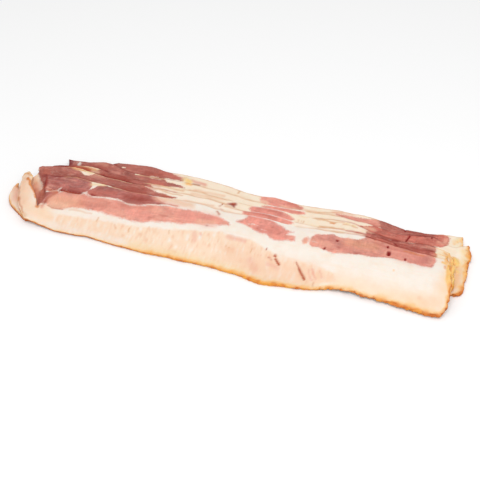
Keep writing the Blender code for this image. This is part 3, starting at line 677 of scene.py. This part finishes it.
def bordersOf(form, loop):
    # borders of a slice's sheets: the rim between its corners, and a seam on from a tear
    frontLeft, frontRight, backRight, backLeft = form["corners"]
    right = stretch(loop, frontRight, backRight)
    back = stretch(loop, backRight, backLeft)[::-1]
    if "tear" not in form:
        return [{"front": [stretch(loop, frontLeft, frontRight)], "back": [back],
                 "left": stretch(loop, backLeft, frontLeft)[::-1], "right": right}]
    flapTip, bottom, leanTip = form["tear"]
    seamEnd = right[len(right) // 2]
    flapEdge = stretch(loop, bottom, flapTip)[::-1]
    seam = np.vstack([flapEdge[-1:], form["seam"], seamEnd[None]])
    return [{"front": [stretch(loop, frontLeft, form["turn"]), stretch(loop, form["turn"], frontRight)],
             "back": [flapEdge, seam], "left": stretch(loop, flapTip, frontLeft)[::-1],
             "right": stretch(loop, frontRight, seamEnd)},
            {"front": [stretch(loop, leanTip, bottom), seam], "back": [back],
             "left": stretch(loop, backLeft, leanTip)[::-1], "right": stretch(loop, seamEnd, backRight)}]


def alongRuns(runs, shares):
    # points of a border of one run, or of two that meet at the tear's share
    if len(runs) == 1:
        return along(runs[0], shares)
    share = sheetForm["tearShare"]
    return np.where((shares < share)[:, None], along(runs[0], shares / share),
                    along(runs[1], (shares - share) / (1 - share)))


def patch(sheet, s, t):
    # plan points of a sheet stretched between its borders, and how far they are from each
    low, high = alongRuns(sheet["front"], s), alongRuns(sheet["back"], s)
    start, end = along(sheet["left"], t), along(sheet["right"], t)
    s = s[:, None]
    t = t[:, None]
    corners = ((1 - t) * ((1 - s) * sheet["left"][0] + s * sheet["right"][0])
               + t * ((1 - s) * sheet["left"][-1] + s * sheet["right"][-1]))
    plan = (1 - t) * low + t * high + (1 - s) * start + s * end - corners
    return plan, [np.hypot(*(plan - border).T) for border in (low, high, start, end)]


def sheetMesh(columns, rows, tearColumn, tearRow):
    # a flat unit block: a fine grid, torn where the slice is, pulled up by 1 and cut round its sides
    sheet = bmesh.new()
    bmesh.ops.create_grid(sheet, x_segments=columns, y_segments=rows, size=0.5)
    if tearColumn:
        close = 1e-5
        tearY = tearRow / rows - 0.5
        tearX = tearColumn / columns - 0.5
        torn = [edge for edge in sheet.edges
                if all(abs(v.co.y - tearY) < close and v.co.x < tearX + close for v in edge.verts)]
        bmesh.ops.split_edges(sheet, edges=torn)
        behind = [v for v in sheet.verts if abs(v.co.y - tearY) < close and v.co.x < tearX - close
                  and all(face.calc_center_median().y > tearY for face in v.link_faces)]
        bmesh.ops.translate(sheet, verts=behind, vec=(0, 0.1 / rows, 0))
    raised = bmesh.ops.extrude_face_region(sheet, geom=sheet.faces[:], use_keep_orig=True)["geom"]
    raised = [part for part in raised if isinstance(part, bmesh.types.BMVert)]
    bmesh.ops.translate(sheet, verts=raised, vec=(0, 0, 1))
    upright = [edge for edge in sheet.edges if abs(edge.verts[0].co.z - edge.verts[1].co.z) > 0.5]
    bmesh.ops.subdivide_edges(sheet, edges=upright, cuts=sheetForm["wallCuts"], use_grid_fill=True)
    bmesh.ops.recalc_face_normals(sheet, faces=sheet.faces[:])
    return sheet


def sheetGrid(form, sheets, length, width):
    # shares of a sheet's columns and rows, and its mesh; a torn slice is two sheets side by side
    pitch = sheetForm["columnPitch"]
    if len(sheets) == 1:
        columns = spread(length, sheetForm["longPitch"])
        rows = spread(width, sheetForm["rowPitch"], fineFrom=width - form["shown"])
        return columns, rows, sheetMesh(len(columns) - 1, len(rows) - 1, 0, 0)
    share = sheetForm["tearShare"]
    flap, rest = (stepLengths(run).sum() for run in sheets[0]["front"])
    flap = spread(flap, pitch, endRim=False) * share
    rest = spread(rest, pitch, startRim=False) * (1 - share) + share
    columns = np.concatenate([flap, rest[1:]])
    near = spread(width / 2, form["frontPitch"]) / 2
    away = spread(width / 2, sheetForm["rowPitch"]) / 2 + 0.5
    rows = np.concatenate([near, away[1:]])
    return columns, rows, sheetMesh(len(columns) - 1, len(rows) - 1, len(flap) - 1, len(near) - 1)


def layOut(sheets, unit, columns, rows):
    # plan place of every point and its distance from each edge
    column = np.rint((unit[:, 0] + 0.5) * (len(columns) - 1)).astype(int)
    row = (unit[:, 1] + 0.5) * (len(rows) - 1) + 1e-3
    behind = row - np.floor(row) > 0.05          # points of the tear's far side were moved back a little
    row = np.floor(row).astype(int)
    s = columns[column]
    w = rows[row]
    if len(sheets) == 1:
        plan, found = patch(sheets[0], s, w)
        return plan, dict(zip(("front", "back", "left", "right"), found))
    half = np.argmin(np.abs(rows - 0.5))
    nearPlan, near = patch(sheets[0], s, np.minimum(w * 2, 1))
    awayPlan, away = patch(sheets[1], s, np.maximum(w * 2 - 1, 0))
    lean = behind | (row > half)
    plan = np.where(lean[:, None], awayPlan, nearPlan)
    bottom = sheets[0]["back"][0][-1]
    torn = np.where(s < sheetForm["tearShare"], np.where(lean, away[0], near[1]), farAway)
    return plan, {"front": np.where(lean, farAway, near[0]), "back": np.where(lean, away[1], farAway),
                  "left": np.where(lean, away[2], near[2]), "right": np.where(lean, away[3], near[3]),
                  "tear": np.minimum(torn, np.hypot(*(plan - bottom).T))}


# What is painted on every point: lean and fat, their marks, and the rind. Reaches are in millimetres
paint = {
    # small marks all over the lean: colour, squeeze along the slice, bend, size, draw, rarity, strength
    "leanMarks": [("salmon", 0.14, 0.5, 0.9, 16, 0.5, 0.9),      # threads of fat
                  ("dark", 0.5, 0, 1.3, 17, 0.6, 1.0),           # pits
                  ("salmon", 0.7, 0, 0.8, 18, 0.72, 1.6)],       # flecks
    "blotch": (0.09, 0.13, 0.11),    # how much the lean's red, green and blue wander
    "fibres": (0.2, 0.24, 0.1),      # strength of coarse fibres, fine ones and rings round the outline
    "muscleBlend": 0.6,              # how gently one muscle's colour turns into the next one's
    "seamReach": 4.0,                # how far off a seam still shapes the lean
    "creamStrength": 0.85,
    "flecks": 0.95,                  # of peach and white in the creamy muscle
    "streaks": 0.3,                  # of cream in the white fat
    "leftEndDarkReach": 1.2,               # of the darker lean at a slice's left end
    "edgeReach": 0.85,               # of the back rim's colour, painted highlight and painted shade
    "shadeBehindRimFrom": 2.1,               # how far behind the rim above the painted shade there is strongest
    "rindBase": 0.9,                 # added to each rind width
    "wall": 1.5,                     # the top face counts as this much further in than a wall's foot
    "glow": 0.6,                     # strength of the gold inside the rind
    # how much the rind's parts waver, and how long the waves are
    "waver": {"rind": (0.4, 2.6), "glow": (0.35, 5.0), "end": (0.5, 2.2), "brown": (0.35, 2.0)},
}


def tinted(tint, mask, color):
    # a tint pulled towards a palette colour where the mask is
    return tint + mask[:, None] * (linear(color) - tint)


def band(x, start, end, fade=2.0):
    # 1 between two lengths, fading at both
    return np.clip((x - start) / fade + 0.5, 0, 1) * np.clip((end - x) / fade + 0.5, 0, 1)


def shifted(form, outline):
    # an outline of the top slice, moved to where this slice has it
    return [tuple(np.array(form["shift"]) + knot) for knot in outline]


def paintLean(form, plan, bend):
    # depth in from the nearest muscle's edge, and the colour of the lean there
    seed = form["seed"] * 10
    x, y = plan.T
    bent = plan + bend
    leanDepth = np.full(len(plan), -5.0)
    leanTint = np.zeros((len(plan), 3))
    weight = np.zeros(len(plan))
    coarse, fine, rings = paint["fibres"]
    for color, *outline in form["muscles"] + [("coral", *shifted(form, pinkBand))]:
        depth = depthInside(bent, outline)
        # fibres run along the muscle, round its outline
        grain = (ripple(x, depth * 6 + y, 5.0, seed + 7) * coarse
                 + ripple(x * 0.3, y + depth, 0.8, seed + 8) * fine
                 + np.sin(depth * 5 + 2 * ripple(x, y, 6.0, seed + 15)) * rings) / softness[color]
        pull = np.exp(depth / paint["muscleBlend"])
        leanTint += (pull * (1 + grain))[:, None] * linear(color)
        weight += pull
        leanDepth = np.maximum(leanDepth, depth / softness[color])
    leanTint /= weight[:, None]
    leanTint *= 1 + ripple(x, y * 1.6, 5.0, seed + 9)[:, None] * np.array(paint["blotch"])
    for color, squeeze, wavy, size, draw, rarity, strength in paint["leanMarks"]:
        mark = np.clip(ripple(x * squeeze, y + wavy * bend[:, 1], size, seed + draw) - rarity, 0, 1)
        leanTint = tinted(leanTint, mark * strength, color)
    for halfWidth, *line in form["seams"]:
        near = around(plan, line, paint["seamReach"])
        leanDepth[near] = np.minimum(leanDepth[near], lineDistance(bent[near], line) - halfWidth)
    return leanDepth, leanTint


def paintFat(form, plan, bend):
    # white fat with faint streaks, and the creamy muscle's flecks
    seed = form["seed"] * 10
    x, y = plan.T
    cream = np.clip(depthInside(plan + bend, shifted(form, creamMuscle)) / 1.4 + 0.4, 0, 1)
    dash = ripple(x, y * 0.35, 0.9, seed + 10) + 0.5 * ripple(x, y, 2.4, seed + 11)
    streak = ripple(x * 0.12, y, 0.8, seed + 12)
    fatTint = np.tile(linear(form["fat"]), (len(plan), 1))
    for mask, color in ((cream * paint["creamStrength"], "cream"),
                        (np.clip(dash - 0.3, 0, 1) * cream * paint["flecks"], "peach"),
                        (np.clip(-dash - 0.25, 0, 1) * cream * paint["flecks"], "fat"),
                        (np.clip(streak - 0.25, 0, 1) * (1 - cream) * paint["streaks"], "cream")):
        fatTint = tinted(fatTint, mask, color)
    return fatTint


def paintMarks(form, plan, bend, edges, rimAbove, tints):
    # washes, darker left ends, back-rim lines, painted shade behind the rim above and cuts over the tints
    seed = form["seed"] * 10
    x, y = plan.T
    for color, strength, reach, *line in form["washes"]:
        tints = tinted(tints, stroke(plan + bend, line, reach * 1.5) * strength, color)
    leftEndDark = np.clip(0.7 + 0.5 * ripple(x, y, 2.0, seed + 19), 0, 1)
    leftEndDark *= np.clip(1.5 - edges["left"] / paint["leftEndDarkReach"], 0, 1)
    tints[0] = tinted(tints[0], leftEndDark, "deep")
    patchy = 0.95 + 0.45 * ripple(x, y * 0, 3.0, seed + 13)
    # the back rim's line: partly the browned rim, partly painted highlight, and painted shade where its
    # colour is dark or deep
    lines = [(form["edge"], np.clip(1.5 - edges["back"] / paint["edgeReach"], 0, 1))]
    if rimAbove is not None:
        # painted shade that the slice above casts on the strip behind its rim, partly stain
        behind = y - np.interp(x, *rimAbove.T)
        lines.append((form["shadeAndStainBehindRim"], np.clip(1.8 - np.abs(behind - paint["shadeBehindRimFrom"]), 0, 1)))
    for runs, mask in lines:
        for start, end, color, strength in runs:
            tints = tinted(tints, mask * band(x, start, end) * np.clip(strength * patchy, 0, 1), color)
    cut = np.zeros(len(plan))
    for depth, halfWidth, *line in form["cuts"]:
        mask = stroke(plan + bend * 0.4, line, halfWidth * 1.6)
        cut = np.maximum(cut, mask * depth)
        # the slits and holes are painted dark red: partly the meat's colour, partly painted shade inside
        # them
        for i, color in enumerate(("blood", "rust")):
            tints[i] = tinted(tints[i], np.clip(mask * 1.6, 0, 1), color)
    return tints, cut


def waver(part, x, y, seed):
    strength, size = paint["waver"][part]
    return strength * ripple(x, y, size, seed)


def paintRind(form, plan, edges, level, tints):
    # a browned skin with a golden glow in from it, over both tints, and how crusty each point is
    seed = form["seed"] * 10
    x, y = plan.T
    wall = level * paint["wall"]
    base = paint["rindBase"]
    places, widths, glows, browns = np.array(form["rind"]).T
    fromRim = edges["front"] + wall
    width = np.interp(x, places, widths) * (1 + waver("rind", x, y, seed + 4)) + base
    glow = np.interp(x, places, glows) * (1 + waver("glow", x, y, seed + 14))
    brown = np.interp(x, places, browns)
    places, widths, endBrowns = np.array(form["endRind"]).T
    endWidth = np.interp(y, places, widths) * (1 + waver("end", x, y, seed + 6)) + base
    fromEnd = edges["right"] + wall
    if "tear" in form:
        fromTip = edges["left"] + wall + np.clip(y - 2, 0, 9) + farAway * (x > sheetForm["tornEnd"])
        fromEnd = np.minimum(fromEnd, fromTip)
    crust = np.clip(1.6 - 1.6 * fromRim / width, 0, 1)
    endCrust = np.clip(1.6 - 1.6 * fromEnd / endWidth, 0, 1)
    brown = np.where(endCrust > crust, np.interp(y, places, endBrowns) + 0.5 * (1 - level), brown)
    crust = np.maximum(crust, endCrust)
    warm = np.maximum(np.exp(-np.maximum(fromRim - width, 0) / (glow * 0.45)),
                      np.exp(-np.maximum(fromEnd - endWidth, 0) / 1.3))
    for mask, color in ((warm, "straw"), (np.clip(warm * 1.6 - 0.8, 0, 1), "gold")):
        tints[1] = tinted(tints[1], mask * paint["glow"], color)
    brown = brown + waver("brown", x, y, seed + 5)
    # the browner ring round each lump is partly the rind's brown and partly painted shade between the lumps
    for _, reach, *line in form["lumps"]:        # bright, in a browner ring
        brown += 0.5 * stroke(plan, line, reach * 2.2) - 1.5 * stroke(plan, line, reach * 1.5)
    skin = np.stack([np.interp(brown, (-0.5, 0, 0.5, 1), shades) for shades in
                     zip(*(linear(name) for name in ("yellow", "gold", "orange", "brown")))], axis=1)
    for i, start in enumerate((0.4, 0.25)):
        tints[i] += np.clip(crust * 1.5 - start, 0, 1)[:, None] * (skin - tints[i])
    return tints, crust * np.interp(brown, (-0.3, 0.3), (0.3, 1))     # yellow crust has no burnt specks


def paintMeat(form, plan, edges, level, rimAbove):
    # lean depth, tints of lean and fat, crust and cuts at every point; the painted lines are bent a little
    seed = form["seed"] * 10
    x, y = plan.T
    bend = np.stack([ripple(x, y, 3.0, seed) * 0.5 + ripple(x, y, 1.2, seed + 1) * 0.2,
                     ripple(x, y, 3.0, seed + 2) * 0.4 + ripple(x * 0.15, y, 0.7, seed + 3) * 0.3], axis=1)
    leanDepth, leanTint = paintLean(form, plan, bend)
    tints = np.stack([leanTint, paintFat(form, plan, bend)])
    tints, cut = paintMarks(form, plan, bend, edges, rimAbove, tints)
    tints, crust = paintRind(form, plan, edges, level, tints)
    return leanDepth, tints, crust, cut


# The slice's relief and its ragged edges
def shapeMeat(form, plan, edges, level, fields, low, leanDepth, crust, cut):
    # heights of every point: the slice as it lies, its rounded rims and its relief
    seed = form["seed"] * 10 + 7
    x, y = plan.T
    over, under = (heightAt(field, low, plan) for field in fields)
    rim = np.minimum.reduce(list(edges.values()))
    rounding = sheetForm["rimRound"]
    drop = rounding - np.sqrt(np.maximum(rounding**2 - np.maximum(rounding - rim, 0) ** 2, 0))
    relief = sheetForm["uneven"] * (ripple(x, y, 7.0, seed) + 0.5 * ripple(x, y, 2.6, seed + 1)
                                    + 0.25 * ripple(x, y * 0.4, 0.9, seed + 2))
    relief -= sheetForm["leanStep"] * np.tanh(leanDepth / 0.6)
    relief -= sheetForm["groove"] * np.exp(-(leanDepth / 0.4) ** 2)
    relief += crust * (sheetForm["crustHeight"] + sheetForm["crustRough"] * ripple(x, y, 1.3, seed + 3))
    for height, reach, *line in form["lumps"]:
        relief += stroke(plan, line, reach * 1.4) * height * (1 + 0.3 * ripple(x, y, 1.2, seed + 4))
    top = np.minimum(over - drop + relief - sheetForm["lower"], cadBox[1][2] / mm) - cut
    base = under + drop + sheetForm["underUneven"] * (1 + ripple(x, y, 5.0, seed + 5))
    top = np.maximum(top, base + sheetForm["thinnest"])
    return base + (top - base) * level


def raggedPlan(form, plan, edges, level):
    # the cut edges wander, and the rind is rough towards the right end and at the flaps' tips
    seed = form["seed"] * 10 + 40
    x, y = plan.T
    names = list(edges)
    distances = np.array([edges[name] for name in names])
    fade = np.exp(-(distances.min(0) / sheetForm["raggedReach"]) ** 2)
    reach = sheetForm["crumbReach"]
    crumbStart, crumbRun = sheetForm["crumbSpan"]
    crusty = np.clip(1.4 - np.minimum(edges["front"], edges["right"]) / reach, 0, 1)
    crusty *= np.clip((x - crumbStart) / crumbRun, 0.1, 1)
    if "tear" in form:
        tips = np.clip(1.5 - edges["left"] / reach, 0, 1) * (x < sheetForm["tornEnd"])
        crusty = np.maximum(crusty, tips)
    amount = (sheetForm["ragged"] + sheetForm["crumb"] * crusty) * fade
    high = level * 1.7
    nearest = np.array(names)[distances.argmin(0)]
    wander = []
    for way, start, less, more in ((1, seed, "left", "right"), (-1, seed + 2, "front", "back")):
        inward = (nearest == less) * 1.0 - (nearest == more)
        wander.append(ripple(x + way * high, y - way * high, 1.5, start)
                      + 0.5 * ripple(x, y, 4.0, start + 1) + 0.2 * inward)
    low, high = np.array(cadBox)[:, :2] / mm
    return np.clip(plan + np.stack(wander, axis=1) * amount[:, None], low, high)


def setAttribute(data, name, values):
    # a painted number or colour on every point
    if values.ndim == 1:
        layer = data.attributes.new(name, "FLOAT", "POINT")
        layer.data.foreach_set("value", np.ascontiguousarray(values, np.float32))
    else:
        layer = data.attributes.new(name, "FLOAT_COLOR", "POINT")
        values = np.concatenate([values, np.ones((len(values), 1))], axis=1)
        layer.data.foreach_set("color", np.ascontiguousarray(values, np.float32).ravel())


# What the shader adds to the painted colours. Each noise has a size in mm, its detail and a squeeze
finish = {
    "noises": {"Fibre": (0.9, 3, (1.0, 0.22, 1.0)), "Mottle": (4.5, 3, (1.0, 1.0, 1.0)),
               "Grain": (0.45, 2, (1.0, 1.0, 1.0)), "Thread": (3.2, 4, (0.5, 1.6, 1.0))},
    "threadSharpness": 26.0,
    "leanSharpness": 2.2,            # of the turn from lean to fat, which strays with the grain
    "stray": 1.6,
    "fibreContrast": 0.30,
    "mottleShare": 0.9,
    "marbling": 0.10,
    "cloud": (0.93, 0.78, 0.62, 1.0),
    "cloudStrength": 0.8,
    "speck": (0.74, 0.54, 0.40, 1.0),
    "speckSharpness": 5.0,
    "roughness": 0.40,
    "mottleRoughness": 0.14,
    "crustRoughness": 0.18,
    "bumpStrength": 0.35,
    "bumpHeight": 0.35,
    "gloss": 0.25,
    "glow": 0.12,                    # share of light that goes through the meat, how far, and its colour
    "glowReach": 1.2,
    "glowColor": (1.0, 0.45, 0.3),
}


def newGroup(name, inputs, outputs):
    # a shader group with its sockets, and what it is given and gives
    group = bpy.data.node_groups.new(name, "ShaderNodeTree")
    for side, sockets in (("INPUT", inputs), ("OUTPUT", outputs)):
        for socket, kind in sockets.items():
            group.interface.new_socket(socket, in_out=side, socket_type="NodeSocket" + kind)
    return group, group.nodes.new("NodeGroupInput").outputs, group.nodes.new("NodeGroupOutput").inputs


def feed(tree, socket, value):
    # a socket is set to a plain value, or linked to another node's
    if isinstance(value, (int, float, tuple)):
        socket.default_value = value
    else:
        tree.links.new(value, socket)


def addMath(tree, operation, first, second, clamp=False):
    node = tree.nodes.new("ShaderNodeMath")
    node.operation = operation
    node.use_clamp = clamp
    feed(tree, node.inputs[0], first)
    feed(tree, node.inputs[1], second)
    return node.outputs[0]


def addSwing(tree, value, middle, gain, clamp=False):
    # how far a value is from its middle, times a gain
    return addMath(tree, "MULTIPLY", addMath(tree, "SUBTRACT", value, middle), gain, clamp)


def addPart(tree, whole, value, gain):
    # a whole, plus a value times its gain
    return addMath(tree, "ADD", whole, addMath(tree, "MULTIPLY", value, gain))


def addNoise(tree, size, detail, squeeze):
    # noise with bumps about size mm across, squeezed along an axis for streaks
    place = tree.nodes.new("ShaderNodeTexCoord")
    mapping = tree.nodes.new("ShaderNodeMapping")
    mapping.inputs["Scale"].default_value = squeeze
    noise = tree.nodes.new("ShaderNodeTexNoise")
    noise.inputs["Scale"].default_value = 1 / (size * mm)
    noise.inputs["Detail"].default_value = detail
    tree.links.new(place.outputs["Object"], mapping.inputs["Vector"])
    tree.links.new(mapping.outputs["Vector"], noise.inputs["Vector"])
    return noise.outputs["Fac"]


def addMix(tree, factor, first, second, blend="MIX"):
    node = tree.nodes.new("ShaderNodeMix")
    node.data_type = "RGBA"
    node.blend_type = blend
    for socket, value in (("Factor", factor), ("A", first), ("B", second)):
        feed(tree, node.inputs[socket], value)
    return node.outputs["Result"]


def fibreGroup():
    # muscle fibres across the slice, mottling, fine threads of fat and small grain
    group, _, out = newGroup("meatFibre", {}, {name: "Float" for name in finish["noises"]})
    noises = {name: addNoise(group, *form) for name, form in finish["noises"].items()}
    near = addMath(group, "ABSOLUTE", addMath(group, "SUBTRACT", noises["Thread"], 0.5), 0)
    noises["Thread"] = addMath(group, "SUBTRACT", 1.0,
                               addMath(group, "MULTIPLY", near, finish["threadSharpness"]), clamp=True)
    for name, value in noises.items():
        group.links.new(value, out[name])
    return group


def meatGroup(fibres):
    # colour, roughness and height of lean, fat and crust, from what was painted on the mesh
    group, given, out = newGroup(
        "meatSurface", {"Lean": "Float", "Lean Tint": "Color", "Fat Tint": "Color", "Crust": "Float"},
        {"Color": "Color", "Roughness": "Float", "Height": "Float"})
    look = group.nodes.new("ShaderNodeGroup")
    look.node_tree = fibres
    fibre, mottle, grain, thread = (look.outputs[name] for name in ("Fibre", "Mottle", "Grain", "Thread"))
    strayed = addMath(group, "ADD", given["Lean"], addSwing(group, grain, 0.5, finish["stray"]))
    lean = addMath(group, "MULTIPLY", strayed, finish["leanSharpness"])
    lean = addMath(group, "ADD", lean, 0.5, clamp=True)
    # lean: fibres and mottling lighten and darken it, threads of fat run through it
    swing = addMath(group, "ADD", addMath(group, "SUBTRACT", fibre, 0.5),
                    addSwing(group, mottle, 0.5, finish["mottleShare"]))
    gain = addPart(group, 1.0, swing, finish["fibreContrast"])
    gainColor = group.nodes.new("ShaderNodeCombineColor")
    for channel in gainColor.inputs:
        group.links.new(gain, channel)
    leanColor = addMix(group, 1.0, given["Lean Tint"], gainColor.outputs[0], "MULTIPLY")
    marble = addMath(group, "MULTIPLY", thread, finish["marbling"])
    leanColor = addMix(group, marble, leanColor, given["Fat Tint"])
    # fat: faint warm clouding
    cloud = addSwing(group, mottle, 0.42, finish["cloudStrength"], clamp=True)
    fatColor = addMix(group, cloud, given["Fat Tint"], finish["cloud"], "MULTIPLY")
    color = addMix(group, lean, fatColor, leanColor)
    # crust: dark specks
    speck = addSwing(group, grain, 0.54, finish["speckSharpness"], clamp=True)
    speck = addMath(group, "MULTIPLY", speck, given["Crust"])
    group.links.new(addMix(group, speck, color, finish["speck"], "MULTIPLY"), out["Color"])
    rough = addPart(group, finish["roughness"], mottle, finish["mottleRoughness"])
    group.links.new(addPart(group, rough, given["Crust"], finish["crustRoughness"]), out["Roughness"])
    height = addPart(group, addMath(group, "MULTIPLY", fibre, 0.6), grain, 0.5)
    group.links.new(height, out["Height"])
    return group


def meatMaterial(name, surface):
    material = bpy.data.materials.new(name)
    material.use_nodes = True
    tree = material.node_tree
    shader = tree.nodes["Principled BSDF"]
    look = tree.nodes.new("ShaderNodeGroup")
    look.node_tree = surface
    for socket, attribute, output in (("Lean", "leanDepth", "Fac"), ("Lean Tint", "leanTint", "Color"),
                                      ("Fat Tint", "fatTint", "Color"), ("Crust", "crust", "Fac")):
        node = tree.nodes.new("ShaderNodeAttribute")
        node.attribute_name = attribute
        tree.links.new(node.outputs[output], look.inputs[socket])
    bump = tree.nodes.new("ShaderNodeBump")
    bump.inputs["Strength"].default_value = finish["bumpStrength"]
    bump.inputs["Distance"].default_value = finish["bumpHeight"] * mm
    tree.links.new(look.outputs["Height"], bump.inputs["Height"])
    for socket, value in (("Base Color", look.outputs["Color"]), ("Roughness", look.outputs["Roughness"]),
                          ("Normal", bump.outputs["Normal"]), ("Subsurface Weight", finish["glow"]),
                          ("Subsurface Radius", finish["glowColor"]),
                          ("Subsurface Scale", finish["glowReach"] * mm),
                          ("Specular IOR Level", finish["gloss"])):
        feed(tree, shader.inputs[socket], value)
    return material


def makeSlice(name, form, surface, rimAbove):
    margin = 3                   # of the height grid round the slice
    loop, tree = rimAndTree(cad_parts[name])
    low = np.floor(loop.min(0)) - margin
    high = np.ceil(loop.max(0)) + margin
    fields = heightFields(tree, low, high)
    length = high[0] - low[0] - 2 * margin
    width = np.abs(form["corners"][2][1] - form["corners"][1][1])
    sheets = bordersOf(form, loop)
    columns, rows, sheet = sheetGrid(form, sheets, length, width)
    data = bpy.data.meshes.new(name + "_meat")
    sheet.to_mesh(data)
    sheet.free()
    unit = np.zeros(len(data.vertices) * 3, np.float32)
    data.vertices.foreach_get("co", unit)
    unit = unit.reshape(-1, 3).astype(float)
    level = unit[:, 2]
    plan, edges = layOut(sheets, unit, columns, rows)
    leanDepth, tints, crust, cut = paintMeat(form, plan, edges, level, rimAbove)
    z = shapeMeat(form, plan, edges, level, fields, low, leanDepth, crust, cut)
    place = np.concatenate([raggedPlan(form, plan, edges, level), z[:, None]], axis=1) * mm
    data.vertices.foreach_set("co", place.astype(np.float32).ravel())
    for attribute, values in (("leanDepth", leanDepth), ("crust", crust),
                              ("leanTint", tints[0]), ("fatTint", tints[1])):
        setAttribute(data, attribute, values)
    data.shade_smooth()
    data.materials.append(meatMaterial(name + "_finish", surface))
    data.update()
    piece = bpy.data.objects.new(name + "_cut", data)
    bpy.context.scene.collection.objects.link(piece)
    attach(piece, "root")
    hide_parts(name)
    print(name, len(data.polygons) * 2, "triangles")
    back = sheets[-1]["back"][-1]
    return back[np.argsort(back[:, 0])]


surface = meatGroup(fibreGroup())
print("meat finish made")
rimAbove = None
for name in reversed(slices):
    rimAbove = makeSlice(name, slices[name], surface, rimAbove)

# Floor, light and camera: metres, watts, degrees and the lens in millimetres
studio = {
    "floor": (0.93, 0.93, 0.93),
    "floorSize": 3.0,
    "sky": 0.70,
    "lampPower": 4.85,
    "lampSize": 0.7,
    "lampPlace": (0.16, -0.42, 0.80),
    "aim": (0.0076, -0.0069, 0.0),
    "azimuth": 18.0,
    "elevation": 42.0,
    "distance": 0.600,
    "lens": 78.75,
}


def addFloor(scene):
    ground = bmesh.new()
    bmesh.ops.create_grid(ground, x_segments=1, y_segments=1, size=studio["floorSize"])
    data = bpy.data.meshes.new("floor")
    ground.to_mesh(data)
    ground.free()
    coat = bpy.data.materials.new("floorPaint")
    coat.use_nodes = True
    shader = coat.node_tree.nodes["Principled BSDF"]
    shader.inputs["Base Color"].default_value = (*studio["floor"], 1.0)
    shader.inputs["Roughness"].default_value = 0.9
    shader.inputs["Specular IOR Level"].default_value = 0.0
    data.materials.append(coat)
    floor = bpy.data.objects.new("floor", data)
    scene.collection.objects.link(floor)


def addLight(scene):
    world = bpy.data.worlds.new("studio")
    world.use_nodes = True
    sky = world.node_tree.nodes["Background"]
    sky.inputs["Color"].default_value = (1.0, 1.0, 1.0, 1.0)
    sky.inputs["Strength"].default_value = studio["sky"]
    scene.world = world
    lampData = bpy.data.lights.new("softbox", "AREA")
    lampData.size = studio["lampSize"]
    lampData.energy = studio["lampPower"]
    lamp = bpy.data.objects.new("softbox", lampData)
    lamp.location = studio["lampPlace"]
    lamp.rotation_euler = (Vector(studio["aim"]) - lamp.location).to_track_quat("-Z", "Y").to_euler()
    scene.collection.objects.link(lamp)
    scene.view_settings.view_transform = "Standard"


def addCamera(scene):
    azimuth, elevation = math.radians(studio["azimuth"]), math.radians(studio["elevation"])
    back = Vector((math.sin(azimuth) * math.cos(elevation), -math.cos(azimuth) * math.cos(elevation),
                   math.sin(elevation)))
    data = bpy.data.cameras.new("camera")
    data.lens = studio["lens"]
    data.clip_start = 0.01
    camera = bpy.data.objects.new("camera", data)
    camera.location = Vector(studio["aim"]) + back * studio["distance"]
    camera.rotation_euler = (-back).to_track_quat("-Z", "Y").to_euler()
    scene.collection.objects.link(camera)
    scene.camera = camera


for add in (addFloor, addLight, addCamera):
    add(bpy.context.scene)
print("floor, light and camera made")
